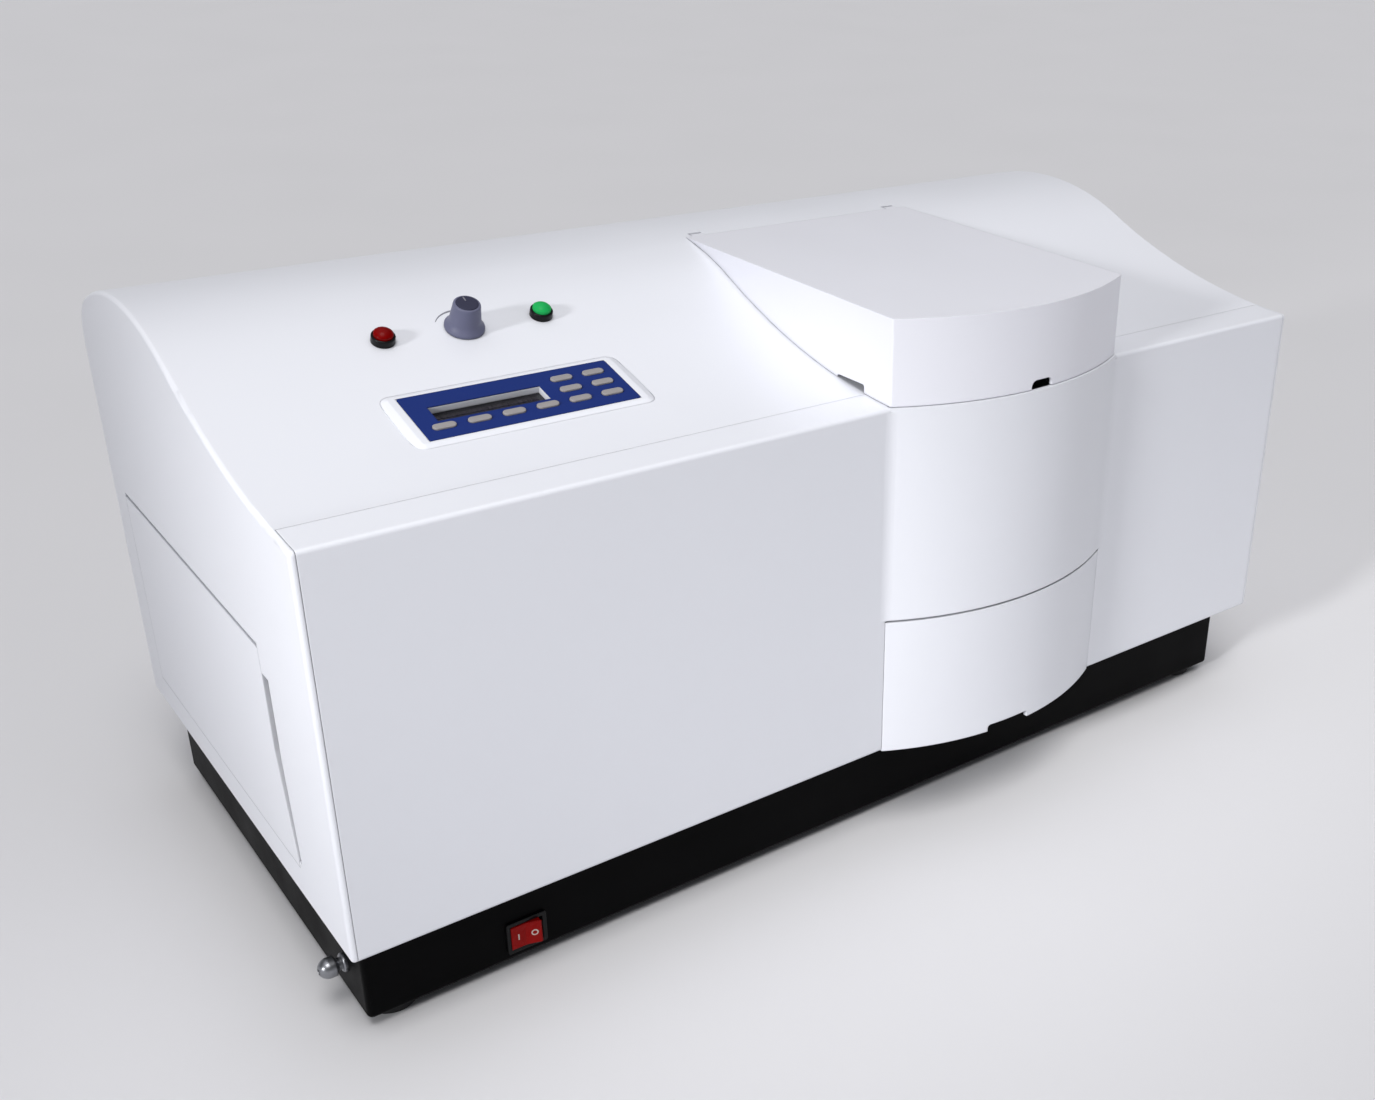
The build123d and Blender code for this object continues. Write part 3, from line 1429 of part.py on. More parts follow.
def make_pump():
    """Circulation pump: motor, volute and its three ports."""
    pump = rod_z(pump_x, bath_y, deck_top, pump_head_bottom, pump_motor_radius)
    pump += rod_z(pump_x, bath_y, pump_head_bottom, pump_head_top, pump_head_radius)
    pump += rod_z(pump_x, bath_y, pump_head_top, pump_inlet_top, spigot_radius)
    out_x = pump_x + pump_port_offset
    out_y = bath_y + pump_head_radius
    pump += rod_y(out_x, bath_y + 10, out_y + spigot_length, pump_port_z, spigot_radius)
    drain_y = bath_y - pump_port_offset
    drain_x = pump_x - pump_head_radius
    pump += rod_x(drain_x - spigot_length, pump_x - 10, drain_y, pump_port_z, spigot_radius)
    cavity = pump_head_radius - pump_wall
    pump -= rod_z(pump_x, bath_y, pump_head_bottom + pump_wall, pump_head_top - pump_wall, cavity)
    pump -= rod_z(pump_x, bath_y, pump_head_top - 10, pump_inlet_top + 1, spigot_bore_radius)
    pump -= rod_y(out_x, bath_y + 12, out_y + 40, pump_port_z, spigot_bore_radius)
    pump -= rod_x(drain_x - 40, pump_x - 12, drain_y, pump_port_z, spigot_bore_radius)
    low = pump_head_bottom + pump_wall
    return pump + rod_z(pump_x, bath_y, low - 1, low + 10, pump_axle_radius)


def make_pump_impeller():
    """Impeller that turns on the axle inside the volute."""
    low = pump_head_bottom + pump_wall + pump_impeller_gap
    impeller = rod_z(pump_x, bath_y, low, low + 2, pump_impeller_radius)
    impeller += rod_z(pump_x, bath_y, low, low + 10, pump_hub_radius)
    for index in range(pump_blade_count):
        length = pump_impeller_radius - 4
        blade = Box(length, 1.6, 10, align=(Align.MIN, Align.CENTER, Align.MIN))
        turn = Rot(0, 0, 360.0 * index / pump_blade_count)
        impeller += Pos(pump_x, bath_y, low) * turn * Pos(4, 0, 0) * blade
    bore = pump_axle_radius + pump_axle_clearance
    return impeller - rod_z(pump_x, bath_y, low - 1, low + 9, bore)


def hose(points, radii):
    """Rubber hose along straight runs and arcs."""
    path = FilletPolyline(*points, radius=radii)
    start = Plane(origin=path @ 0, z_dir=path % 0)
    ring = start * (Circle(hose_radius) - Circle(spigot_radius))
    return sweep(ring, path=path)


def make_hoses():
    """Hoses from bath to pump, pump to flow cell, flow cell to bath and pump to drain."""
    hoses = []
    gap = spigot_length - spigot_grip
    down = Pos(pump_x, bath_y, pump_inlet_top - spigot_grip)
    length = (bath_bottom - gap) - (pump_inlet_top - spigot_grip)
    ring = Circle(hose_radius) - Circle(spigot_radius)
    hoses.append(down * extrude(ring, length))

    out_x = pump_x + pump_port_offset
    out_y = bath_y + pump_head_radius + gap
    cell_end = cell_front - gap
    hoses.append(hose(
        [(out_x, out_y, pump_port_z), (out_x, out_y + 45, pump_port_z),
         (cell_x, cell_end - 45, cell_low_port), (cell_x, cell_end, cell_low_port)],
        [38.0, 38.0],
    ))

    bath_left = bath_x - bath_radius - gap
    hoses.append(hose(
        [(cell_x, cell_end, cell_high_port), (cell_x, cell_end - 45, cell_high_port),
         (cell_x - 20, bath_y + 60, return_z - 20), (cell_x - 22, bath_y, return_z),
         (bath_left, bath_y, return_z)],
        [45.0, 50.0, 22.0],
    ))

    drain_x = pump_x - pump_head_radius - gap
    drain_y = bath_y - pump_port_offset
    end_x = tray_left + tray_wall + gap
    hoses.append(hose(
        [(drain_x, drain_y, pump_port_z), (drain_x - 65, drain_y, pump_port_z),
         (hose_hole_x + 6, drain_y - 4, deck_top + 10), (hose_hole_x - 30, nozzle_y, nozzle_z + 14),
         (hose_hole_x - 100, nozzle_y, nozzle_z), (end_x, nozzle_y, nozzle_z)],
        [45.0, 45.0, 40.0, 60.0],
    ))
    return joined(hoses)


def make_mounts():
    """Rubber blocks that carry the optical bench on the deck."""
    mounts = []
    for x in (-mount_x, mount_x):
        for y in (bench_y - mount_y_offset, bench_y + mount_y_offset):
            mounts.append(rod_z(x, y, deck_top, deck_top + mount_height, mount_radius - 2))
    return joined(mounts)


def make_bench():
    """Aluminium rail of the optical bench with its two T-slots."""
    low = deck_top + mount_height
    high = low + bench_height
    half = bench_width / 2
    front = bench_y - half
    rear = bench_y + half
    rail = block(-bench_half_length, bench_half_length, front, rear, low, high)
    for side in (-1, 1):
        y = bench_y + side * bench_width / 4
        slot = bench_slot_width / 2
        rail -= block(-shell_width, shell_width, y - slot, y + slot, high - bench_slot_depth, high + 1)
    rail -= block(-shell_width, shell_width, front + 6, rear - 6, low + 5, high - bench_slot_depth - 4)
    return rail


def make_clamps():
    """Clamp blocks that hold the optical barrels on the bench."""
    clamps = []
    half = clamp_width / 2
    top = beam_height + barrel_radius + clamp_top_margin
    for x in clamp_places:
        x0 = x - clamp_thickness / 2
        plate = block(x0, x0 + clamp_thickness, bench_y - half, bench_y + half, bench_top, top)
        plate = fillet(plate.edges().filter_by(Axis.X).group_by(Axis.Z)[-1], 24.0)
        plate -= rod_x(x - 20, x + 20, bench_y, beam_height, barrel_radius)
        clamps.append(plate)
    return joined(clamps)


def make_laser():
    """Laser tube with its aperture."""
    tube = rod_x(laser_start, laser_end, bench_y, beam_height, barrel_radius)
    tube = chamfer(tube.edges().group_by(Axis.X)[0], 2.0)
    aperture_start = laser_end - laser_aperture_depth
    return tube - rod_x(aperture_start, laser_end + 1, bench_y, beam_height, laser_aperture_radius)


def make_expander():
    """Beam expander with a narrow neck towards the laser."""
    neck_end = expander_start + expander_neck_length
    barrel = rod_x(neck_end, expander_end, bench_y, beam_height, barrel_radius)
    barrel += rod_x(expander_start, neck_end, bench_y, beam_height, expander_neck_radius)
    barrel -= rod_x(neck_end, expander_end + 1, bench_y, beam_height, expander_bore_radius)
    return barrel - rod_x(expander_start - 1, neck_end + 1, bench_y, beam_height, laser_aperture_radius)


def make_cell():
    """Flow cell frame with window seats, channel and two ports."""
    x0 = cell_x - cell_thickness / 2
    x1 = cell_x + cell_thickness / 2
    cell = block(x0, x1, cell_front, cell_front + cell_width, cell_bottom, cell_bottom + cell_height)
    for z in (cell_low_port, cell_high_port):
        cell += rod_y(cell_x, cell_front - spigot_length, cell_front + 1, z, spigot_radius)
    cell -= rod_x(x0 - 1, x1 + 1, bench_y, beam_height, cell_bore_radius)
    cell -= rod_x(x0 - 1, x0 + window_thickness, bench_y, beam_height, window_radius)
    cell -= rod_x(x1 - window_thickness, x1 + 1, bench_y, beam_height, window_radius)
    for z in (cell_low_port, cell_high_port):
        cell -= rod_y(cell_x, cell_front - spigot_length - 1, bench_y, z, spigot_bore_radius)
    return cell


def make_windows():
    """Two glass windows of the flow cell."""
    x0 = cell_x - cell_thickness / 2
    x1 = cell_x + cell_thickness / 2
    left = rod_x(x0, x0 + window_thickness, bench_y, beam_height, window_radius)
    return left + rod_x(x1 - window_thickness, x1, bench_y, beam_height, window_radius)


def lens_face(radius):
    """Distance of the lens's face from its middle plane, at a radius."""
    return lens_thickness / 2 - lens_curve_radius + sqrt(lens_curve_radius ** 2 - radius ** 2)


def make_lens_barrel():
    """Barrel of the collecting lens, with a seat for the glass."""
    barrel = rod_x(lens_barrel_start, lens_barrel_end, bench_y, beam_height, barrel_radius)
    clear_radius = lens_radius - lens_seat_width
    barrel -= rod_x(lens_barrel_start - 1, lens_barrel_end + 1, bench_y, beam_height, clear_radius)
    seat = (lens_barrel_start + lens_barrel_end) / 2 - lens_face(clear_radius)
    return barrel - rod_x(seat, lens_barrel_end + 1, bench_y, beam_height, lens_radius)


def make_lens():
    """Collecting lens with two convex faces."""
    half = lens_thickness / 2
    zone = lens_radius / 2
    rim = lens_face(lens_radius)
    outline = Line((-half, 0), (half, 0))
    outline += ThreePointArc((half, 0), (lens_face(zone), zone), (rim, lens_radius))
    outline += Line((rim, lens_radius), (-rim, lens_radius))
    outline += ThreePointArc((-rim, lens_radius), (-lens_face(zone), zone), (-half, 0))
    lens = revolve(make_face(outline), Axis.X)
    return Pos((lens_barrel_start + lens_barrel_end) / 2, bench_y, beam_height) * lens


def make_detector_base():
    """Base of the detector stage with its guide groove."""
    half_l = detector_base_length / 2
    half_w = detector_base_width / 2
    top = bench_top + detector_base_height
    base = block(detector_x - half_l, detector_x + half_l, bench_y - half_w, bench_y + half_w, bench_top, top)
    half_s = slide_width / 2
    groove = block(
        detector_x - half_s, detector_x + half_s, bench_y - 100, bench_y + 100, top - slide_depth, top + 1
    )
    return base - groove


def make_detector_carriage():
    """Carriage with the ring detector, which slides across the beam."""
    low = bench_top + detector_base_height
    half_l = carriage_length / 2
    half_w = carriage_width / 2
    z0 = low + slide_clearance
    tongue = slide_width / 2 - slide_clearance
    carriage = block(
        detector_x - tongue, detector_x + tongue, bench_y - half_w, bench_y + half_w,
        low - slide_depth + slide_clearance, z0 + 1,
    )
    carriage += block(
        detector_x - half_l, detector_x + half_l, bench_y - half_w, bench_y + half_w, z0, z0 + carriage_height
    )
    half_p = detector_plate_size / 2
    x0 = detector_x - detector_plate_thickness / 2
    x1 = detector_x + detector_plate_thickness / 2
    carriage += block(x0, x1, bench_y - half_p, bench_y + half_p, z0 + 2, beam_height + half_p)
    disc = rod_x(x0 - detector_disc_thickness, x0, bench_y, beam_height, detector_disc_radius)
    return carriage + disc


def make_power_supply():
    """Power supply with a row of vent slots along each long side."""
    half_l = supply_length / 2
    half_w = supply_width / 2
    low = tray_bottom + tray_wall
    high = low + supply_height
    supply = block(supply_x - half_l, supply_x + half_l, supply_y - half_w, supply_y + half_w, low, high)
    half_s = supply_slot_width / 2
    z0 = low + supply_slot_margin
    z1 = low + supply_height - supply_slot_margin
    for index in range(supply_slot_count):
        x = supply_x + (index - (supply_slot_count - 1) / 2) * supply_slot_pitch
        for y in (supply_y - half_w, supply_y + half_w):
            supply -= block(x - half_s, x + half_s, y - supply_wall, y + supply_wall, z0, z1)
    return supply


def make_control_board():
    """Control board with its main components."""
    low = tray_bottom + tray_wall + control_board_rise
    half_l = control_board_length / 2
    half_w = control_board_width / 2
    top = low + board_thickness
    board = block(board_x - half_l, board_x + half_l, board_y - half_w, board_y + half_w, low, top)
    components = (
        (processor_x, processor_y, processor_side, processor_side, processor_height),
        (driver_x, driver_y, driver_side, driver_side, driver_height),
        (connector_x, connector_y, connector_length, connector_width, connector_height),
        (relay_x, relay_y, relay_length, relay_width, relay_height),
    )
    for x, y, length, width, height in components:
        part = Box(length, width, height + board_thickness / 2, align=LOW)
        board += Pos(board_x + x, board_y + y, top - board_thickness / 2) * part
    for index in range(capacitor_count):
        x = board_x + capacitor_x + (index - (capacitor_count - 1) / 2) * capacitor_pitch
        y = board_y + capacitor_y
        board += rod_z(x, y, top - board_thickness / 2, top + capacitor_height, capacitor_radius)
    return board


def make_nodes():
    """Every piece of the instrument by name."""
    places = control_places()
    nodes = {
        "base_tray": make_tray(),
        "rubber_feet": make_feet(),
        "deck_plate": make_deck(),
        "top_cover": make_top_cover(),
        "front_panel": make_front_panel(),
        "tower_cover": make_tower_cover(),
        "side_panel": make_side_panel(),
        "rear_panel": make_rear_panel(),
        "rear_screws": make_rear_screws(),
        "fan_frame": make_fan_frame(),
        "fan_rotor": make_fan_rotor(),
        "power_inlet": make_inlet(),
        "lid": make_lid(),
        "lid_gasket": make_lid_gasket(),
        "hinge_pins": make_hinge_pins(),
        "keypad_boss": make_keypad_boss(),
        "keypad_membrane": make_keypad_membrane(),
        "keypad_board": make_keypad_board(),
        "display_window": make_display_glass(),
        "display_module": make_display_module(),
        "button_bezels": make_button_bezels(),
        "red_button": make_button_cap(places[0]),
        "green_button": make_button_cap(places[2]),
        "speed_knob": make_knob(),
        "potentiometer": make_potentiometer(),
        "switch_housing": make_switch_housing(),
        "mains_rocker": make_rocker(),
        "drain_nozzle": make_nozzle(),
        "chamber_insert": make_insert(),
        "sample_bath": make_bath(),
        "ultrasonic_transducer": make_transducer(),
        "stirrer_bracket": make_stirrer_bracket(),
        "stirrer_motor": make_stirrer_motor(),
        "stirrer_rotor": make_stirrer_rotor(),
        "circulation_pump": make_pump(),
        "pump_impeller": make_pump_impeller(),
        "hoses": make_hoses(),
        "isolation_mounts": make_mounts(),
        "optical_rail": make_bench(),
        "barrel_clamps": make_clamps(),
        "laser_tube": make_laser(),
        "beam_expander": make_expander(),
        "flow_cell_frame": make_cell(),
        "flow_cell_windows": make_windows(),
        "lens_barrel": make_lens_barrel(),
        "collecting_lens": make_lens(),
        "detector_base": make_detector_base(),
        "detector_carriage": make_detector_carriage(),
        "power_supply": make_power_supply(),
        "control_board": make_control_board(),
    }
    for index, (x, y) in enumerate(key_places()):
        nodes[f"key_{index + 1:02d}"] = make_key(x, y)
    return nodes


# The origin is at the middle of the whole instrument's footprint, on the bench top
nozzle_reach = nozzle_flange_thickness + nozzle_neck_length + nozzle_body_length + nozzle_body_radius
nozzle_tip = -tray_left + nozzle_reach
left_reach = max(nozzle_tip, shell_width / 2)
front_reach = shell_depth / 2 + tower_bulge
back_reach = rear_panel_face + max(screw_head_height, inlet_flange_thickness)
origin_x = (shell_width / 2 - left_reach) / 2
origin_y = (back_reach - front_reach) / 2


def main():
    """Writes one STEP file for each piece."""
    os.makedirs("parts", exist_ok=True)
    nodes = make_nodes()
    for name, shape in nodes.items():
        export_step(Pos(-origin_x, -origin_y, 0) * shape, f"parts/{name}.step")
    print(f"{len(nodes)} pieces written")


if __name__ == "__main__":
    main()
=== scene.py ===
import json
from math import cos, pi, radians, sin

import bmesh
import bpy
from mathutils import Matrix, Vector
from mathutils.bvhtree import BVHTree


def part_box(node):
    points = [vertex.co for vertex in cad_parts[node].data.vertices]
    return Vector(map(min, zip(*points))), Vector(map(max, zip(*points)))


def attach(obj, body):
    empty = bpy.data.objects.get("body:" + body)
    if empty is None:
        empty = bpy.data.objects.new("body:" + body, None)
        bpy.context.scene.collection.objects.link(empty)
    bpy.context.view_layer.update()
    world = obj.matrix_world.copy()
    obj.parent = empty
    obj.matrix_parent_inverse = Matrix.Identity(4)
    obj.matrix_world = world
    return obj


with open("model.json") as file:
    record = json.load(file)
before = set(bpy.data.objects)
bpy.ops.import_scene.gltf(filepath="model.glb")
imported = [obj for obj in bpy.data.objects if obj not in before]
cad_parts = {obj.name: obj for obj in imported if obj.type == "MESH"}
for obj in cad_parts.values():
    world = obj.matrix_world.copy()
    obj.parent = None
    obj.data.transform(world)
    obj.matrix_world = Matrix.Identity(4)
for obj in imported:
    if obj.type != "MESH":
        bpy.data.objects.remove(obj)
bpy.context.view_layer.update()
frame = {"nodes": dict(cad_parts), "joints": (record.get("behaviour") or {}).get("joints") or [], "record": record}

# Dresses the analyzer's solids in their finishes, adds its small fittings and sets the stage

bl_info = {
    "name": "Particle Size Analyzer",
    "version": (1, 0, 0),
    "blender": (4, 5, 0),
    "location": "View3D > Sidebar > Analyzer",
    "description": "Finishes and small fittings of a bench particle size analyzer",
    "category": "Object",
}

MM = 0.001

# Camera at the photograph's viewing angle
CAMERA_PLACE = (-0.6709, -1.0137, 0.7339)
CAMERA_RIGHT = (0.7843, -0.6201, 0.0225)
CAMERA_VIEW = (0.5689, 0.7041, -0.4251)
CAMERA_SHIFT = (-0.1336, 0.0149)
CAMERA_SENSOR = 36.0

# Floor and lights, with angles in degrees
FLOOR_HALF = 30.0
KEY_ANGLE = 28
KEY_COLOUR = (1.0, 0.98, 0.955)
KEY_DIRECTION = (0.16, 0.36, -0.92)
SIDE_ANGLE = 14.5
SIDE_SOFTNESS = 0.3
SIDE_PLACE = (-3.92, -1.13, 1.6)
SIDE_DIRECTION = (0.922, 0.213, -0.324)
SKY_COLOUR = (0.95, 0.96, 1.0, 1.0)

# Display and printed marks, with angles in degrees
CELL_COLUMNS = 20
CELL_ROWS = 2
CELL_THICKNESS = 0.1 * MM
CELL_LIFT = 0.02 * MM
DIAL_START = 147
DIAL_SWEEP = 112
DIAL_STEPS = 40
INDEX_HALF_WIDTH = 0.5 * MM
DROP = 20.0 * MM

# Hose ports and the clips on them
HOSE_RADIUS = 8.0 * MM
CLIP_FROM_END = 7.0 * MM
CLIP_FROM_SHORT_END = 6.0 * MM
PORT_ABOVE_PUMP_FOOT = 52.0 * MM
PORT_FROM_PUMP_AXIS = 28.0 * MM
PORT_FROM_CELL_EDGE = 30.0 * MM
RETURN_BELOW_BATH_RIM = 24.5 * MM

# Laser's fins and detector's rings
FIN_COUNT = 15
RING_COUNT = 6
RING_INNER = 2.0 * MM
RING_PITCH = 3.3 * MM
RING_WIDTH = 2.2 * MM
RING_THICKNESS = 0.3 * MM
RING_LIFT = 0.15 * MM
CARRIAGE_REACH = 30.0 * MM

# Cap screws
CLAMP_GAP = 20.0 * MM
CELL_SCREW_INSET = 10.0 * MM
CELL_PORT_LENGTH = 14.0 * MM
PUMP_SCREWS = 6
PUMP_SCREW_RADIUS = 33.0 * MM
PUMP_HEAD_BELOW_TOP = 14.0 * MM
FOOT_SCREW_SPREAD = 12.0 * MM
FOOT_SCREW_INSET = 4.5 * MM
FOOT_THICKNESS = 4.0 * MM


def colour_of(code):
    """Linear red, green, blue and alpha of an sRGB hex colour."""
    channels = [int(code[place:place + 2], 16) / 255 for place in (1, 3, 5)]
    return (*[c / 12.92 if c <= 0.04045 else ((c + 0.055) / 1.055) ** 2.4 for c in channels], 1.0)


def colour_property(name, description, code):
    """Colour that a user can change, with its default as sRGB hex."""
    return bpy.props.FloatVectorProperty(
        name=name, description=description, subtype="COLOR", size=4, min=0.0, max=1.0, default=colour_of(code)
    )


def length_property(name, description, millimetres):
    """Length that a user can change, with its default in millimetres."""
    return bpy.props.FloatProperty(
        name=name, description=description, unit="LENGTH", subtype="DISTANCE",
        min=0.0, default=millimetres * MM
    )


def strength_property(name, description, strength):
    """Strength of a light that a user can change."""
    return bpy.props.FloatProperty(name=name, description=description, min=0.0, default=strength)


class FinishSettings(bpy.types.PropertyGroup):
    """Colours and textures of the instrument's surfaces."""

    shell: colour_property("Housing", "Gloss paint of the housing", "#E8EAF1")
    lid: colour_property("Lid", "Gloss paint of the lid", "#EAEBF3")
    tray: colour_property("Base", "Powder coat of the base", "#030304")
    membrane: colour_property("Keypad", "Printed front sheet of the keypad", "#122C74")
    key: colour_property("Keys", "Moulded keys", "#9A9696")
    knob: colour_property("Knob", "Speed knob", "#696B84")
    red_cap: colour_property("Red button", "Cap of the red push button", "#7A0000")
    green_cap: colour_property("Green button", "Cap of the green push button", "#23B05A")
    rocker: colour_property("Rocker", "Tinted mains rocker", "#8C0806")
    legend: colour_property("Legends", "Printed dial mark and switch marks", "#8D8E99")
    edge: length_property("Edge rounding", "Rounding that shows on sharp moulded edges", 1.2)
    peel: length_property("Orange peel", "Size of the ripples in sprayed gloss paint", 3.5)
    grain: length_property("Coat grain", "Size of the grains in the powder coat", 0.9)


class FittingSettings(bpy.types.PropertyGroup):
    """Sizes of the small fittings."""

    dial_radius: length_property("Dial radius", "Middle of the printed wedge round the knob", 20.5)
    dial_thin: length_property("Dial thin end", "Width of the wedge at low speed", 0.5)
    dial_thick: length_property("Dial thick end", "Width of the wedge at high speed", 3.2)
    ink: length_property("Ink thickness", "Thickness of screen-printed marks", 0.08)
    knob_cap_radius: length_property("Knob cap", "Radius of the cap in the knob's top", 8.2)
    knob_cap_lift: length_property("Knob cap lift", "How far the knob's cap stands out", 0.35)
    mark_height: length_property("Switch mark", "Height of the marks on the rocker", 5.0)
    mark_stroke: length_property("Mark stroke", "Line width of the marks on the rocker", 0.9)
    screw_radius: length_property("Screw head radius", "Head of an M4 cap screw", 3.5)
    screw_height: length_property("Screw head height", "Head of an M4 cap screw", 4.0)
    socket_radius: length_property("Screw socket", "Hexagon socket of an M4 cap screw", 1.7)
    clip_width: length_property("Clip width", "Band of a worm-drive hose clip", 5.0)
    clip_thickness: length_property("Clip thickness", "Band of a worm-drive hose clip", 0.7)
    fin_pitch: length_property("Fin pitch", "Distance between the laser's cooling fins", 6.0)
    fin_thickness: length_property("Fin thickness", "Thickness of a cooling fin", 2.0)
    fin_reach: length_property("Fin reach", "Height of a cooling fin above the tube", 5.0)
    cell_width: length_property("Character width", "Character cell of the display", 3.2)
    cell_height: length_property("Character height", "Character cell of the display", 5.6)


class StudioSettings(bpy.types.PropertyGroup):
    """Floor, lights and camera."""

    floor: colour_property("Floor", "Pale floor", "#DEDEE1")
    sky: strength_property("Sky", "Strength of the soft light all round", 0.10)
    walls: strength_property("Walls", "Strength of the sky at the horizon", 0.4)
    ceiling: strength_property("Ceiling", "Strength of the sky overhead", 0.9)
    key: strength_property("Key light", "Large soft light overhead", 1.4)
    side: strength_property("Side light", "Soft spot at the left", 600.0)
    lens: bpy.props.FloatProperty(
        name="Focal length", description="Focal length on a 36 mm sensor", unit="CAMERA",
        min=1.0, default=39.13
    )


# Nodes and materials

def add(tree, kind, settings=None, inputs=None):
    """Adds a node with its settings; an input is a value, or an output socket that is linked to it."""
    made = tree.nodes.new(kind)
    for key, value in (settings or {}).items():
        setattr(made, key, value)
    for key, value in (inputs or {}).items():
        if isinstance(value, bpy.types.NodeSocket):
            tree.links.new(value, made.inputs[key])
        else:
            made.inputs[key].default_value = value
    return made


def surface(name, colour, roughness, grain, depth, mottle=(0.06, 0.03), stretch=(1, 1, 1), painted_crevice_shade=0.0,
            **shader):
    """Opaque finish: grain in the surface, a mottle in colour and gloss, rounded edges, painted shade in corners
    and crevices.

    grain and depth are the texture's size and height in metres, mottle its size in metres and its share,
    stretch draws the grain out along an axis, and shader holds fixed values of the shader.
    """
    material = bpy.data.materials.new(name)
    material.use_nodes = True
    material.diffuse_color = tuple(colour)
    tree = material.node_tree
    tree.nodes.clear()
    edge = bpy.context.scene.analyzer_finish.edge
    place = add(tree, "ShaderNodeTexCoord").outputs["Object"]
    drawn = add(tree, "ShaderNodeMapping", {"vector_type": "TEXTURE"}, {"Vector": place, "Scale": stretch})
    grains = add(tree, "ShaderNodeTexNoise", None, {
        "Vector": drawn.outputs[0], "Scale": 1 / grain, "Detail": 3.0,
    })
    clouds = add(tree, "ShaderNodeTexNoise", None, {"Vector": place, "Scale": 1 / mottle[0], "Detail": 4.0})
    rounded = add(tree, "ShaderNodeBevel", {"samples": 6}, {"Radius": edge})
    bump = add(tree, "ShaderNodeBump", None, {
        "Height": grains.outputs[0], "Distance": depth, "Strength": 1.0, "Normal": rounded.outputs[0],
    })
    darker = [c * (1 - 2 * mottle[1]) for c in colour[:3]] + [1.0]
    tint = add(tree, "ShaderNodeMix", {"data_type": "RGBA"}, {
        0: clouds.outputs[0], 6: darker, 7: tuple(colour),
    })
    gloss = add(tree, "ShaderNodeMapRange", None, {
        "Value": clouds.outputs[0], "From Min": 0.3, "From Max": 0.7,
        "To Min": roughness * 0.9, "To Max": roughness * 1.1,
    })
    shown = tint.outputs[2]
    # Painted shade: ambient occlusion darkens corners, creases and gaps towards a dark copy of the colour
    if painted_crevice_shade:
        open_sky = add(tree, "ShaderNodeAmbientOcclusion", {"samples": 6}, {"Distance": 0.008})
        crevice_shade_mask = add(tree, "ShaderNodeMapRange", None, {
            "Value": open_sky.outputs["AO"], "From Min": 0.2, "From Max": 0.8, "To Min": painted_crevice_shade, "To Max": 0.0,
        })
        shade = [c * 0.35 for c in colour[:3]] + [1.0]
        crevice_shaded = add(tree, "ShaderNodeMix", {"data_type": "RGBA"}, {0: crevice_shade_mask.outputs[0], 6: shown, 7: shade})
        shown = crevice_shaded.outputs[2]
    principled = add(tree, "ShaderNodeBsdfPrincipled", None, {
        "Base Color": shown, "Roughness": gloss.outputs[0], "Normal": bump.outputs[0], **shader,
    })
    add(tree, "ShaderNodeOutputMaterial", None, {"Surface": principled.outputs[0]})
    return material


def clear(name, colour, roughness, ior):
    """Glass or clear plastic, with a faint haze of handling in its gloss."""
    material = bpy.data.materials.new(name)
    material.use_nodes = True
    material.diffuse_color = (*colour[:3], 0.4)
    tree = material.node_tree
    tree.nodes.clear()
    place = add(tree, "ShaderNodeTexCoord").outputs["Object"]
    haze = add(tree, "ShaderNodeTexNoise", None, {"Vector": place, "Scale": 60.0, "Detail": 5.0})
    gloss = add(tree, "ShaderNodeMapRange", None, {
        "Value": haze.outputs[0], "From Min": 0.35, "From Max": 0.7,
        "To Min": roughness, "To Max": roughness * 3,
    })
    principled = add(tree, "ShaderNodeBsdfPrincipled", None, {
        "Base Color": tuple(colour), "Roughness": gloss.outputs[0], "Transmission Weight": 1.0, "IOR": ior,
    })
    add(tree, "ShaderNodeOutputMaterial", None, {"Surface": principled.outputs[0]})
    return material


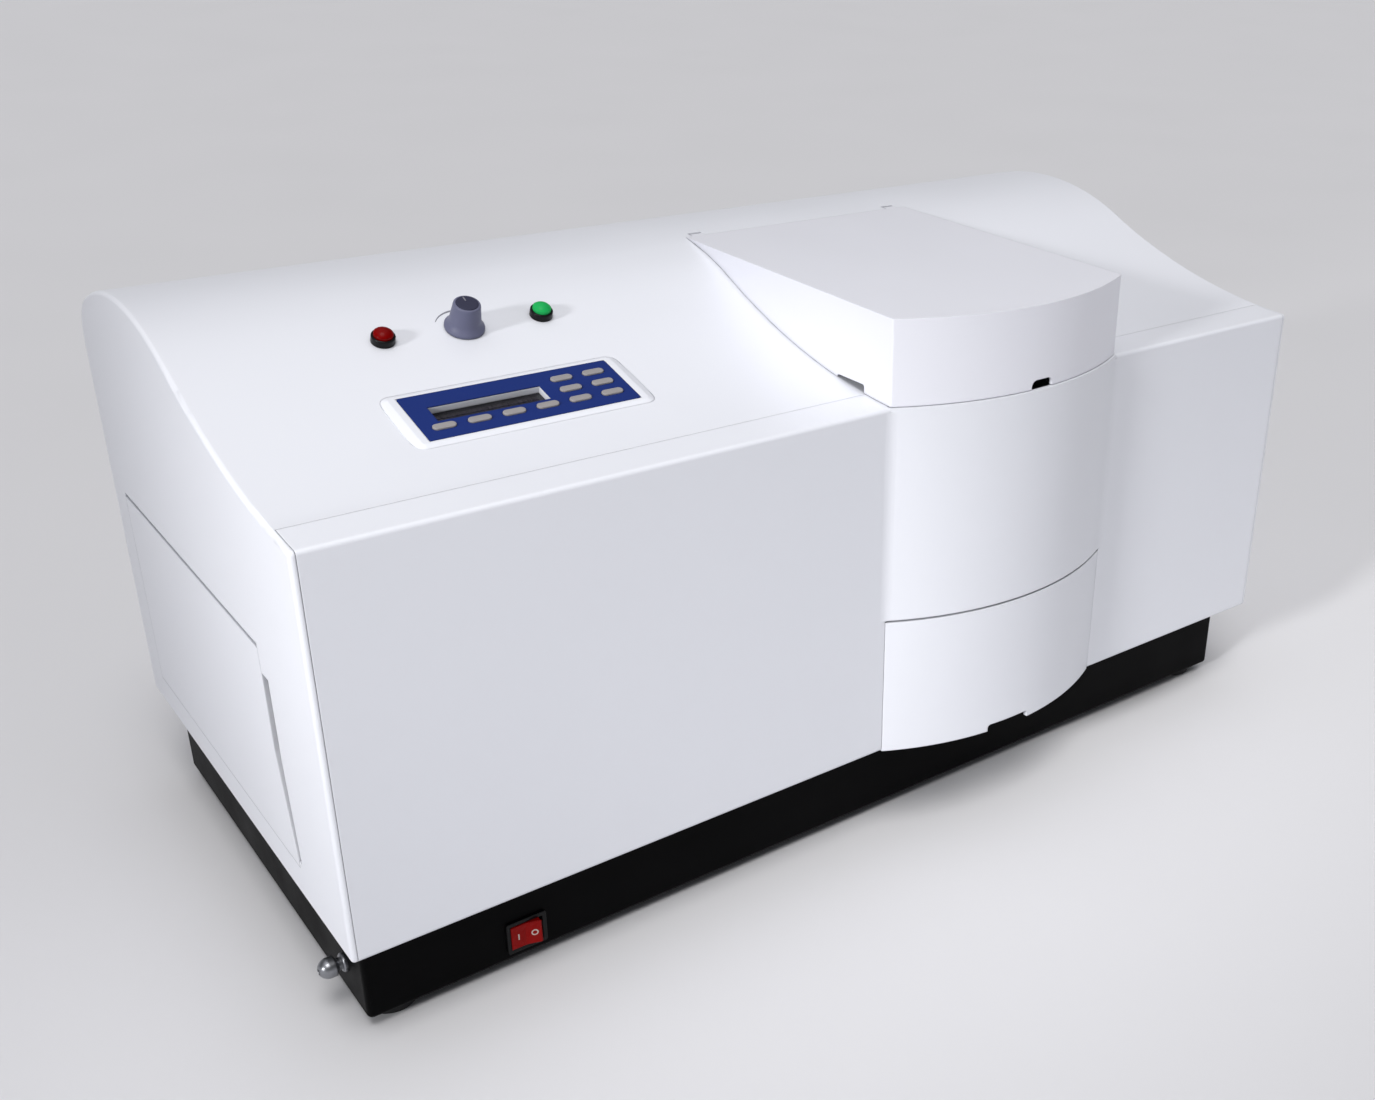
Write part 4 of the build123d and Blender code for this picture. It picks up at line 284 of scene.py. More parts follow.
def make_finish(slot):
    """Material of one of the record's slots."""
    s = bpy.context.scene.analyzer_finish
    # Gloss paint on moulded glass-fibre resin: slow ripples of orange peel soften the reflections; painted shade
    # darkens its corners and gaps
    if slot == "shell_white":
        return surface("gloss_paint_housing", s.shell, 0.36, s.peel, 0.00003, (0.12, 0.012), painted_crevice_shade=0.5,
                       **{"Coat Weight": 0.1, "Coat Roughness": 0.2, "Specular IOR Level": 0.3})
    # Gloss paint of the lid, with painted shade in its corners and gaps
    if slot == "lid_white":
        return surface("gloss_paint_lid", s.lid, 0.33, s.peel, 0.00003, (0.10, 0.01), painted_crevice_shade=0.5,
                       **{"Coat Weight": 0.1, "Coat Roughness": 0.16, "Specular IOR Level": 0.3})
    # Powder coat on folded steel: fine pebbled grain that breaks the highlights up
    if slot == "tray_black":
        return surface("powder_coat_black", s.tray, 0.5, s.grain, 0.00006, (0.05, 0.1),
                       **{"Specular IOR Level": 0.05})
    # Plated sheet steel: rolled grain along the sheet, cloudy plating
    if slot == "bare_steel":
        return surface("plated_sheet_steel", colour_of("#A3A6AA"), 0.38, 0.0006, 0.00001, (0.03, 0.1),
                       (30, 1, 1), Metallic=1.0)
    # Spun stainless steel: fine rings of polishing that stretch the highlights
    if slot == "stainless":
        return surface("polished_stainless_steel", colour_of("#C3C5C8"), 0.2, 0.0005, 0.000006, (0.04, 0.06),
                       (1, 1, 20), Metallic=1.0)
    # Clear anodised aluminium: satin, with the even grain of the etch
    if slot == "aluminium_clear":
        return surface("anodised_aluminium_clear", colour_of("#B9BBBF"), 0.36, 0.0005, 0.000008, (0.05, 0.05),
                       (20, 1, 1), Metallic=1.0)
    # Black anodised aluminium: dark satin, a little grey where the light grazes it
    if slot == "aluminium_black":
        return surface("anodised_aluminium_black", colour_of("#2A2A2F"), 0.4, 0.0006, 0.000008, (0.04, 0.12),
                       (15, 1, 1), Metallic=0.6)
    # Moulded rubber: matt, with bloom that lightens it in patches
    if slot == "rubber_black":
        return surface("moulded_rubber_black", colour_of("#18181A"), 0.75, 0.0008, 0.00005, (0.012, 0.2))
    # Silicone tubing: milky and a little see-through, with a faint lengthwise draw
    if slot == "hose_rubber":
        return surface("silicone_tube", colour_of("#D2CDC1"), 0.35, 0.002, 0.00003, (0.02, 0.06),
                       **{"Subsurface Weight": 0.35, "Subsurface Radius": (0.01, 0.009, 0.007),
                          "Subsurface Scale": 0.5, "IOR": 1.41})
    # Vacuum-formed resin of the sample chamber: light grey, satin, with painted shade in its corners and gaps
    if slot == "insert_grey":
        return surface("formed_resin_grey", colour_of("#D6D7DB"), 0.45, 0.0012, 0.00003, (0.07, 0.03),
                       painted_crevice_shade=0.3)
    # Printed polyester sheet: velvet-textured film over a deep blue print
    if slot == "membrane_blue":
        return surface("printed_polyester_blue", s.membrane, 0.42, 0.0005, 0.00002, (0.03, 0.06),
                       **{"Specular IOR Level": 0.2})
    # Moulded silicone keys: fine matt
    if slot == "key_grey":
        return surface("moulded_key_grey", s.key, 0.6, 0.0006, 0.00003, (0.008, 0.06))
    # Moulded thermoplastic knob with a satin spark-eroded skin
    if slot == "knob_grey":
        return surface("satin_knob_plastic", s.knob, 0.45, 0.0006, 0.00003, (0.01, 0.05),
                       **{"Specular IOR Level": 0.3})
    # Moulded cap of the knob: fine matt slate, a painted shade that darkens the knob's top
    if slot == "knob_top_painted_shade":
        return surface("matt_cap_slate", colour_of("#34354A"), 0.55, 0.0006, 0.00003, (0.01, 0.05),
                       **{"Specular IOR Level": 0.2})
    # Moulded nylon: black with a soft gloss
    if slot == "bezel_black":
        return surface("moulded_nylon_black", colour_of("#0A0A0C"), 0.35, 0.0007, 0.00002, (0.01, 0.1),
                       **{"Specular IOR Level": 0.2})
    # Tinted acrylic caps: deep colour under a hard gloss
    if slot == "cap_red":
        return surface("tinted_acrylic_red", s.red_cap, 0.3, 0.002, 0.00002, (0.008, 0.08),
                       **{"Specular IOR Level": 0.08})
    if slot == "cap_green":
        return surface("tinted_acrylic_green", s.green_cap, 0.3, 0.002, 0.00002, (0.008, 0.08),
                       **{"Specular IOR Level": 0.08})
    # Tinted polycarbonate rocker: deep red under a hard gloss
    if slot == "rocker_red":
        return surface("tinted_polycarbonate_red", s.rocker, 0.28, 0.002, 0.00002, (0.01, 0.1),
                       **{"Specular IOR Level": 0.1})
    # Smoked acrylic window: dark and glossy, lets the cells below show faintly
    if slot == "smoked_glass":
        return clear("smoked_acrylic", colour_of("#A9A6AE"), 0.03, 1.49)
    # Polarising film on the display: flat dark grey
    if slot == "display_grey":
        return surface("display_polariser", colour_of("#514A55"), 0.35, 0.0008, 0.00001, (0.02, 0.08))
    # Optical glass: clear, with an even polish
    if slot == "clear_glass":
        return clear("polished_optical_glass", colour_of("#F2FAFA"), 0.01, 1.52)
    # Solder mask over copper: green with faint tracks under the lacquer
    if slot == "circuit_green":
        return surface("solder_mask_green", colour_of("#1F5B3B"), 0.3, 0.0012, 0.00004, (0.01, 0.25),
                       (8, 1, 1))
    # Stoved enamel on the motors: dark grey with a soft peel
    if slot == "motor_dark":
        return surface("stoved_enamel_dark", colour_of("#34363A"), 0.3, 0.0025, 0.00004, (0.03, 0.08),
                       IOR=1.5)
    # Zinc plate on screws: bright, slightly blue, cloudy
    if slot == "screw_steel":
        return surface("zinc_plate", colour_of("#B7B9BC"), 0.3, 0.0006, 0.00001, (0.004, 0.12), Metallic=1.0)
    # Satin nickel plate on the nozzle: soft bright metal with turning rings
    if slot == "nozzle_steel":
        return surface("satin_nickel_plate", colour_of("#9FA1A6"), 0.36, 0.0004, 0.00001, (0.006, 0.12),
                       (1, 12, 12), Metallic=1.0)
    # Screen-printing ink: flat grey
    if slot == "ink_grey":
        return surface("printing_ink_grey", s.legend, 0.6, 0.0006, 0.00001, (0.004, 0.06))
    # Filled engraving on the switch: off-white paint
    if slot == "ink_white":
        return surface("filled_engraving_white", colour_of("#D8CFC8"), 0.5, 0.0006, 0.00001, (0.004, 0.06))
    # Silicon of the ring detector: dark blue-grey mirror
    if slot == "silicon":
        return surface("polished_silicon", colour_of("#4A4F66"), 0.12, 0.0006, 0.000003, (0.02, 0.2),
                       Metallic=0.7)
    raise ValueError(f"no finish is known for {slot}")


def finish(slot):
    """Material of a slot, made once."""
    made = bpy.context.scene.get("analyzer_made", {})
    if slot in made:
        return bpy.data.materials[made[slot]]
    material = make_finish(slot)
    bpy.context.scene["analyzer_made"] = {**dict(made), slot: material.name}
    return material


def dress(*names):
    """Gives CAD nodes the finish of the slot that the record names for them."""
    slots = {row["node"]: row["material_slot"] for row in frame["record"]["subparts"]}
    for name in names:
        frame["nodes"][name].material_slots[0].material = finish(slots[name])


# Small pieces

def joint_of(name):
    """Joint of the frame."""
    return next(joint for joint in frame["joints"] if joint["name"] == name)


def piece_of(name, points, faces, slot, body):
    """Mesh piece from points and faces in metres, riding on a body."""
    mesh = bpy.data.meshes.new(name)
    mesh.from_pydata(points, [], faces)
    mesh.validate()
    mesh.update()
    made = bpy.data.objects.new(name, mesh)
    bpy.context.scene.collection.objects.link(made)
    mesh.materials.append(finish(slot))
    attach(made, body)
    return made


def turned(name, profile, centre, axis, slot, body, steps=40):
    """Solid of revolution: profile is a list of (radius, height), from the axis round to the axis again."""
    across = axis.orthogonal().normalized()
    along = axis.cross(across)
    points = []
    rings = []
    for radius, height in profile:
        if radius == 0:
            rings.append([len(points)] * steps)
            points.append(centre + axis * height)
            continue
        rings.append([len(points) + index for index in range(steps)])
        for index in range(steps):
            angle = 2 * pi * index / steps
            points.append(centre + axis * height + (across * cos(angle) + along * sin(angle)) * radius)
    faces = []
    for low, high in zip(rings, rings[1:]):
        for index in range(steps):
            after = (index + 1) % steps
            corners = [low[index], low[after], high[after], high[index]]
            faces.append(tuple(dict.fromkeys(corners)))
    made = piece_of(name, points, faces, slot, body)
    face_outwards(made)
    return made


def surface_tree(name):
    """Search tree over a piece's faces."""
    mesh = bpy.data.objects[name].data if name in bpy.data.objects else frame["nodes"][name].data
    return BVHTree.FromPolygons([v.co for v in mesh.vertices], [list(p.vertices) for p in mesh.polygons])


def printed_strip(name, node, body, slot, rows, ray, thickness):
    """Closed strip of ink that lies on a CAD node.

    rows are pairs of points, one on each side of the strip, and ray is the direction in which they are
    dropped onto the node.
    """
    tree = surface_tree(node)
    points = []
    for row in rows:
        for point in row:
            hit, normal, _, _ = tree.ray_cast(point - ray * DROP, ray)
            if hit is None:
                raise ValueError(f"{name} misses {node}")
            points.append(hit + normal * thickness)
            points.append(hit - normal * thickness / 2)
    faces = []
    for index in range(len(rows) - 1):
        a = 4 * index
        b = a + 4
        faces += [(a, b, b + 2, a + 2), (a + 1, a + 3, b + 3, b + 1)]
        faces += [(a, a + 1, b + 1, b), (a + 2, b + 2, b + 3, a + 3)]
    last = 4 * (len(rows) - 1)
    faces += [(0, 2, 3, 1), (last, last + 1, last + 3, last + 2)]
    made = piece_of(name, points, faces, slot, body)
    face_outwards(made)
    return made


def face_outwards(made):
    """Turns a closed mesh's faces outwards."""
    work = bmesh.new()
    work.from_mesh(made.data)
    bmesh.ops.remove_doubles(work, verts=work.verts, dist=1e-7)
    bmesh.ops.recalc_face_normals(work, faces=work.faces)
    work.to_mesh(made.data)
    work.free()


def rule_tree(name, numbers):
    """Geometry tree with named length inputs; returns the tree, its input node and its output node."""
    tree = bpy.data.node_groups.new(name, "GeometryNodeTree")
    tree.interface.new_socket("Geometry", in_out="INPUT", socket_type="NodeSocketGeometry")
    for label in numbers:
        tree.interface.new_socket(label, in_out="INPUT", socket_type="NodeSocketFloat")
    tree.interface.new_socket("Geometry", in_out="OUTPUT", socket_type="NodeSocketGeometry")
    return tree, add(tree, "NodeGroupInput"), add(tree, "NodeGroupOutput")


def close_tree(tree, ending, instances, material):
    """Ends a geometry tree with Realize Instances and Set Material."""
    real = add(tree, "GeometryNodeRealizeInstances", None, {"Geometry": instances})
    dressed = add(tree, "GeometryNodeSetMaterial", None, {"Geometry": real.outputs[0], "Material": material})
    tree.links.new(dressed.outputs[0], ending.inputs[0])


def grow(name, tree, numbers, places, body):
    """Runs a geometry tree on places, a list of (point, direction), and keeps the plain mesh."""
    seed = bpy.data.meshes.new(name + "_places")
    seed.from_pydata([place for place, _ in places], [], [])
    facing = seed.attributes.new("facing", "FLOAT_VECTOR", "POINT")
    facing.data.foreach_set("vector", [value for _, direction in places for value in direction])
    holder = bpy.data.objects.new(name + "_rule", seed)
    bpy.context.scene.collection.objects.link(holder)
    modifier = holder.modifiers.new("rule", "NODES")
    modifier.node_group = tree
    for socket in tree.interface.items_tree:
        if socket.in_out == "INPUT" and socket.name in numbers:
            modifier[socket.identifier] = numbers[socket.name]
    graph = bpy.context.evaluated_depsgraph_get()
    mesh = bpy.data.meshes.new_from_object(holder.evaluated_get(graph))
    bpy.data.objects.remove(holder)
    mesh.name = name
    made = bpy.data.objects.new(name, mesh)
    bpy.context.scene.collection.objects.link(made)
    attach(made, body)
    return made


def turned_to_facing(tree, points, instance):
    """Instances on points, each with its own Z turned to the point's facing attribute."""
    facing = add(tree, "GeometryNodeInputNamedAttribute", {"data_type": "FLOAT_VECTOR"}, {"Name": "facing"})
    turn = add(tree, "FunctionNodeAlignRotationToVector", {"axis": "Z"}, {"Vector": facing.outputs[0]})
    placed = add(tree, "GeometryNodeInstanceOnPoints", None, {
        "Points": points, "Instance": instance, "Rotation": turn.outputs[0],
    })
    return placed.outputs[0]


def cap_screw_tree(material):
    """Cap screw head with a hexagon socket, on every point."""
    tree, start, ending = rule_tree("cap_screws", ("Radius", "Height", "Socket"))
    depth = add(tree, "ShaderNodeMath", {"operation": "MULTIPLY"}, {0: start.outputs["Height"], 1: 0.5})
    head = add(tree, "GeometryNodeMeshCylinder", {"fill_type": "NGON"}, {
        "Vertices": 24, "Radius": start.outputs["Radius"], "Depth": start.outputs["Height"],
    })
    socket = add(tree, "GeometryNodeMeshCylinder", {"fill_type": "NGON"}, {
        "Vertices": 6, "Radius": start.outputs["Socket"], "Depth": start.outputs["Height"],
    })
    lift = add(tree, "ShaderNodeCombineXYZ", None, {"Z": depth.outputs[0]})
    raised = add(tree, "GeometryNodeTransform", None, {
        "Geometry": socket.outputs[0], "Translation": lift.outputs[0],
    })
    cut = add(tree, "GeometryNodeMeshBoolean", {"operation": "DIFFERENCE"}, {
        0: head.outputs[0], 1: raised.outputs[0],
    })
    seated = add(tree, "GeometryNodeTransform", None, {
        "Geometry": cut.outputs[0], "Translation": lift.outputs[0],
    })
    close_tree(tree, ending, turned_to_facing(tree, start.outputs["Geometry"], seated.outputs[0]), material)
    return tree


def band_tree(name, material, with_worm):
    """Round band of rectangular section about every point's direction, with or without a worm housing."""
    tree, start, ending = rule_tree(name, ("Radius", "Width", "Thickness"))
    circle = add(tree, "GeometryNodeCurvePrimitiveCircle", None, {
        "Resolution": 48, "Radius": start.outputs["Radius"],
    })
    section = add(tree, "GeometryNodeCurvePrimitiveQuadrilateral", None, {
        "Width": start.outputs["Thickness"], "Height": start.outputs["Width"],
    })
    band = add(tree, "GeometryNodeCurveToMesh", None, {
        "Curve": circle.outputs[0], "Profile Curve": section.outputs[0],
    })
    shape = band.outputs[0]
    if with_worm:
        height = add(tree, "ShaderNodeMath", {"operation": "MULTIPLY"}, {0: start.outputs["Width"], 1: 0.8})
        size = add(tree, "ShaderNodeCombineXYZ", None, {
            "X": height.outputs[0], "Y": start.outputs["Radius"], "Z": start.outputs["Width"],
        })
        worm = add(tree, "GeometryNodeMeshCube", None, {"Size": size.outputs[0]})
        away = add(tree, "ShaderNodeCombineXYZ", None, {"X": start.outputs["Radius"]})
        moved = add(tree, "GeometryNodeTransform", None, {
            "Geometry": worm.outputs[0], "Translation": away.outputs[0],
        })
        both = add(tree, "GeometryNodeJoinGeometry")
        tree.links.new(shape, both.inputs[0])
        tree.links.new(moved.outputs[0], both.inputs[0])
        shape = both.outputs[0]
    close_tree(tree, ending, turned_to_facing(tree, start.outputs["Geometry"], shape), material)
    return tree


def character_tree(material):
    """Thin plate for every character cell of the display."""
    tree, start, ending = rule_tree("character_cells", ("Cell width", "Cell height", "Cell thickness"))
    size = add(tree, "ShaderNodeCombineXYZ", None, {
        "X": start.outputs["Cell width"], "Y": start.outputs["Cell height"],
        "Z": start.outputs["Cell thickness"],
    })
    plate = add(tree, "GeometryNodeMeshCube", None, {"Size": size.outputs[0]})
    close_tree(tree, ending, turned_to_facing(tree, start.outputs["Geometry"], plate.outputs[0]), material)
    return tree


def ring_tree(name, material):
    """Flat ring on every point, each wider than the one before it by the pitch."""
    tree, start, ending = rule_tree(name, ("Inner", "Pitch", "Thickness", "Width"))
    index = add(tree, "GeometryNodeInputIndex")
    grown = add(tree, "ShaderNodeMath", {"operation": "MULTIPLY_ADD"}, {
        0: index.outputs[0], 1: start.outputs["Pitch"], 2: start.outputs["Inner"],
    })
    circle = add(tree, "GeometryNodeCurvePrimitiveCircle", None, {"Resolution": 48, "Radius": 1.0})
    scale = add(tree, "ShaderNodeCombineXYZ", None, {
        "X": grown.outputs[0], "Y": grown.outputs[0], "Z": 1.0,
    })
    facing = add(tree, "GeometryNodeInputNamedAttribute", {"data_type": "FLOAT_VECTOR"}, {"Name": "facing"})
    turn = add(tree, "FunctionNodeAlignRotationToVector", {"axis": "Z"}, {"Vector": facing.outputs[0]})
    placed = add(tree, "GeometryNodeInstanceOnPoints", None, {
        "Points": start.outputs["Geometry"], "Instance": circle.outputs[0], "Rotation": turn.outputs[0],
        "Scale": scale.outputs[0],
    })
    real = add(tree, "GeometryNodeRealizeInstances", None, {"Geometry": placed.outputs[0]})
    section = add(tree, "GeometryNodeCurvePrimitiveQuadrilateral", None, {
        "Width": start.outputs["Width"], "Height": start.outputs["Thickness"],
    })
    band = add(tree, "GeometryNodeCurveToMesh", None, {
        "Curve": real.outputs[0], "Profile Curve": section.outputs[0],
    })
    close_tree(tree, ending, band.outputs[0], material)
    return tree


# Operators

class PieceOperator:
    """What every piece's operator has in common."""

    bl_options = {"REGISTER", "UNDO"}


class ANALYZER_OT_stage(PieceOperator, bpy.types.Operator):
    """Pale floor, soft lights and the camera"""

    bl_idname = "analyzer.stage"
    bl_label = "Stage"

    def execute(self, context):
        studio = context.scene.analyzer_studio
        scene = context.scene

        right = Vector(CAMERA_RIGHT).normalized()
        back = -Vector(CAMERA_VIEW).normalized()
        up = back.cross(right).normalized()
        right = up.cross(back)
        turn = Matrix((right, up, back)).transposed().to_4x4()
        camera = bpy.data.objects.new("camera", bpy.data.cameras.new("camera"))
        camera.matrix_world = Matrix.Translation(CAMERA_PLACE) @ turn
        camera.data.lens = studio.lens
        camera.data.sensor_width = CAMERA_SENSOR
        camera.data.shift_x, camera.data.shift_y = CAMERA_SHIFT
        camera.data.clip_start = 0.01
        scene.collection.objects.link(camera)
        scene.camera = camera

        # Floor: matt paper sweep with a barely visible tooth
        half = FLOOR_HALF
        corners = [(-half, -half, 0), (half, -half, 0), (half, half, 0), (-half, half, 0)]
        mesh = bpy.data.meshes.new("floor")
        mesh.from_pydata(corners, [], [(0, 1, 2, 3)])
        floor = bpy.data.objects.new("floor", mesh)
        mesh.materials.append(surface("matt_paper_floor", studio.floor, 0.8, 0.002, 0.00001, (0.4, 0.004)))
        scene.collection.objects.link(floor)

        # Large soft light from above, a little from the front and the left
        lamp = bpy.data.lights.new("key_light", "SUN")
        lamp.angle = radians(KEY_ANGLE)
        lamp.energy = studio.key
        lamp.color = KEY_COLOUR
        light = bpy.data.objects.new("key_light", lamp)
        light.rotation_euler = Vector(KEY_DIRECTION).to_track_quat("-Z", "Y").to_euler()
        scene.collection.objects.link(light)

        # Soft spot at the upper left edge, which fades towards the back and down the left end
        lamp = bpy.data.lights.new("side_light", "SPOT")
        lamp.spot_size = radians(SIDE_ANGLE)
        lamp.spot_blend = 1.0
        lamp.shadow_soft_size = SIDE_SOFTNESS
        lamp.energy = studio.side
        light = bpy.data.objects.new("side_light", lamp)
        light.location = SIDE_PLACE
        light.rotation_euler = Vector(SIDE_DIRECTION).to_track_quat("-Z", "Y").to_euler()
        scene.collection.objects.link(light)

        # Sky that is bright overhead, where metal mirrors it, and soft at the horizon
        world = bpy.data.worlds.new("soft_sky")
        world.use_nodes = True
        scene.world = world
        tree = world.node_tree
        tree.nodes.clear()
        ray = add(tree, "ShaderNodeTexCoord").outputs["Generated"]
        height = add(tree, "ShaderNodeSeparateXYZ", None, {0: ray}).outputs["Z"]
        ceiling = add(tree, "ShaderNodeMapRange", {"interpolation_type": "SMOOTHSTEP"}, {
            "Value": height, "From Min": 0.55, "From Max": 1.0,
            "To Min": studio.sky, "To Max": studio.ceiling,
        })
        walls = add(tree, "ShaderNodeMapRange", {"interpolation_type": "SMOOTHSTEP"}, {
            "Value": height, "From Min": 0.02, "From Max": 0.4, "To Min": studio.walls, "To Max": 0.0,
        })
        both = add(tree, "ShaderNodeMath", {"operation": "ADD"}, {0: ceiling.outputs[0], 1: walls.outputs[0]})
        sky = add(tree, "ShaderNodeBackground", None, {"Color": SKY_COLOUR, "Strength": both.outputs[0]})
        add(tree, "ShaderNodeOutputWorld", None, {"Surface": sky.outputs[0]})
        scene.view_settings.view_transform = "Standard"
        return {"FINISHED"}


class ANALYZER_OT_housing(PieceOperator, bpy.types.Operator):
    """White housing, side panel, tower cover and rear panel"""

    bl_idname = "analyzer.housing"
    bl_label = "Housing"

    def execute(self, context):
        dress("top_cover", "front_panel", "tower_cover", "side_panel", "rear_panel", "rear_screws",
              "keypad_boss")
        return {"FINISHED"}


class ANALYZER_OT_base(PieceOperator, bpy.types.Operator):
    """Black base with feet, deck, fan, mains inlet and drain nozzle"""

    bl_idname = "analyzer.base"
    bl_label = "Base"

    def execute(self, context):
        dress("base_tray", "rubber_feet", "deck_plate", "fan_frame", "fan_rotor", "power_inlet",
              "drain_nozzle", "power_supply", "control_board")
        return {"FINISHED"}


class ANALYZER_OT_lid(PieceOperator, bpy.types.Operator):
    """Lid of the sample chamber with its gasket and hinge pins"""

    bl_idname = "analyzer.lid"
    bl_label = "Lid"

    def execute(self, context):
        dress("lid", "lid_gasket", "hinge_pins")
        return {"FINISHED"}


class ANALYZER_OT_keypad(PieceOperator, bpy.types.Operator):
    """Keypad sheet, keys and display with its character cells"""

    bl_idname = "analyzer.keypad"
    bl_label = "Keypad"

    def execute(self, context):
        keys = sorted(name for name in frame["nodes"] if name.startswith("key_"))
        dress("keypad_membrane", "keypad_board", "display_window", "display_module", *keys)
        fittings = context.scene.analyzer_fittings
        module = frame["nodes"]["display_module"].data
        top = max(module.polygons, key=lambda face: face.normal.z * face.area)
        normal = top.normal.copy()
        corners = [module.vertices[i].co for i in top.vertices]
        height = max(corner.dot(normal) for corner in corners)
        low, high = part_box("display_module")
        middle = (low + high) / 2
        middle += normal * (height - middle.dot(normal))
        across = Vector((1, 0, 0))
        upward = normal.cross(across).normalized()
        pitch_x = fittings.cell_width * 1.17
        pitch_y = fittings.cell_height * 1.15
        places = []
        for row in range(CELL_ROWS):
            for column in range(CELL_COLUMNS):
                sideways = across * (column - (CELL_COLUMNS - 1) / 2) * pitch_x
                offset = sideways + upward * (row - (CELL_ROWS - 1) / 2) * pitch_y
                places.append((middle + offset + normal * CELL_LIFT, normal))
        numbers = {
            "Cell width": fittings.cell_width, "Cell height": fittings.cell_height,
            "Cell thickness": CELL_THICKNESS,
        }
        grow("display_cells", character_tree(finish("display_grey")), numbers, places, "housing")
        return {"FINISHED"}


class ANALYZER_OT_controls(PieceOperator, bpy.types.Operator):
    """Buttons, speed knob with its printed wedge, and the mains rocker with its marks"""

    bl_idname = "analyzer.controls"
    bl_label = "Controls"

    def execute(self, context):
        dress("button_bezels", "red_button", "green_button", "speed_knob", "potentiometer", "switch_housing",
              "mains_rocker")
        fittings = context.scene.analyzer_fittings
        turning = joint_of("speed_knob_turn")
        base = Vector(turning["pos_m"])
        axis = Vector(turning["axis"]).normalized()
        across = Vector((1, 0, 0))
        upward = axis.cross(across).normalized()

        # Printed wedge round the knob, which widens towards high speed
        rows = []
        for index in range(DIAL_STEPS + 1):
            share = index / DIAL_STEPS
            angle = radians(DIAL_START - DIAL_SWEEP * share)
            half = (fittings.dial_thin + (fittings.dial_thick - fittings.dial_thin) * share) / 2
            spoke = across * cos(angle) + upward * sin(angle)
            inner = base + spoke * (fittings.dial_radius - half)
            rows.append([inner, base + spoke * (fittings.dial_radius + half)])
        printed_strip("dial_wedge", "top_cover", "housing", "ink_grey", rows, -axis,
                      fittings.ink)

        # Pressed-in cap of the knob, painted darker than its side as shade on the knob's top, with the line that
        # shows how far it is turned
        knob = frame["nodes"]["speed_knob"].data
        top = max((vertex.co - base).dot(axis) for vertex in knob.vertices)
        reach = fittings.knob_cap_radius
        lift = fittings.knob_cap_lift
        profile = [
            (0.0, -lift), (reach - lift, -lift), (reach, 0.0), (reach - lift / 2, lift),
            (reach * 0.8, lift * 1.4), (0.0, lift * 1.6),
        ]
        turned("knob_cap", profile, base + axis * top, axis, "knob_top_painted_shade", "speed_knob_body")
        rows = []
        for index in range(9):
            spot = base + axis * top + upward * fittings.knob_cap_radius * (0.3 + 0.6 * index / 8)
            rows.append([spot - across * INDEX_HALF_WIDTH, spot + across * INDEX_HALF_WIDTH])
        printed_strip("knob_index", "knob_cap", "speed_knob_body", "ink_grey", rows, -axis,
                      fittings.ink)

        # Bar and ring on the rocker's two halves
        low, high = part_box("mains_rocker")
        middle = (low + high) / 2
        quarter = (high.x - low.x) / 4
        ray = Vector((0, 1, 0))
        half = fittings.mark_stroke / 2
        bar_x = middle.x - quarter
        rows = []
        for index in range(7):
            z = middle.z + fittings.mark_height * (index / 6 - 0.5)
            rows.append([Vector((bar_x - half, low.y, z)), Vector((bar_x + half, low.y, z))])
        printed_strip("rocker_on_mark", "mains_rocker", "mains_rocker_body", "ink_white",
                      rows, ray, fittings.ink)
        centre = Vector((middle.x + quarter, low.y, middle.z))
        radius = fittings.mark_height / 2
        rows = []
        for index in range(33):
            angle = 2 * pi * index / 32
            spoke = Vector((cos(angle), 0, sin(angle)))
            rows.append([centre + spoke * (radius - 2 * half), centre + spoke * radius])
        printed_strip("rocker_off_mark", "mains_rocker", "mains_rocker_body", "ink_white",
                      rows, ray, fittings.ink)
        return {"FINISHED"}


class ANALYZER_OT_chamber(PieceOperator, bpy.types.Operator):
    """Sample chamber with bath, stirrer, pump, hoses and their clips"""

    bl_idname = "analyzer.chamber"
    bl_label = "Sample chamber"

    def execute(self, context):
        dress("chamber_insert", "sample_bath", "ultrasonic_transducer", "stirrer_bracket", "stirrer_motor",
              "stirrer_rotor", "circulation_pump", "pump_impeller", "hoses")
        fittings = context.scene.analyzer_fittings

        # Clips at the hose ends: on the pump, the bath's outlet, the flow cell and the bath's return
        bath_low, bath_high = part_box("sample_bath")
        cell_low, cell_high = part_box("flow_cell_frame")
        pump_low, pump_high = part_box("circulation_pump")
        pump_x, pump_y, _ = joint_of("pump_spin")["pos_m"]
        port_z = pump_low.z + PORT_ABOVE_PUMP_FOOT
        cell_x = (cell_low.x + cell_high.x) / 2
        cell_y = cell_low.y + CLIP_FROM_END
        places = [
            ((pump_x, pump_y, pump_high.z - CLIP_FROM_SHORT_END), (0, 0, 1)),
            ((pump_x, pump_y, bath_low.z + CLIP_FROM_SHORT_END), (0, 0, 1)),
            ((pump_x + PORT_FROM_PUMP_AXIS, pump_high.y - CLIP_FROM_END, port_z), (0, 1, 0)),
            ((pump_low.x + CLIP_FROM_END, pump_y - PORT_FROM_PUMP_AXIS, port_z), (1, 0, 0)),
            ((cell_x, cell_y, cell_low.z + PORT_FROM_CELL_EDGE), (0, 1, 0)),
            ((cell_x, cell_y, cell_high.z - PORT_FROM_CELL_EDGE), (0, 1, 0)),
            ((bath_low.x + CLIP_FROM_END, pump_y, bath_high.z - RETURN_BELOW_BATH_RIM), (1, 0, 0)),
        ]
        numbers = {
            "Radius": HOSE_RADIUS + fittings.clip_thickness / 2, "Width": fittings.clip_width,
            "Thickness": fittings.clip_thickness,
        }
        bands = band_tree("hose_clip_bands", finish("stainless"), True)
        grow("hose_clips", bands, numbers, places, "housing")
        return {"FINISHED"}


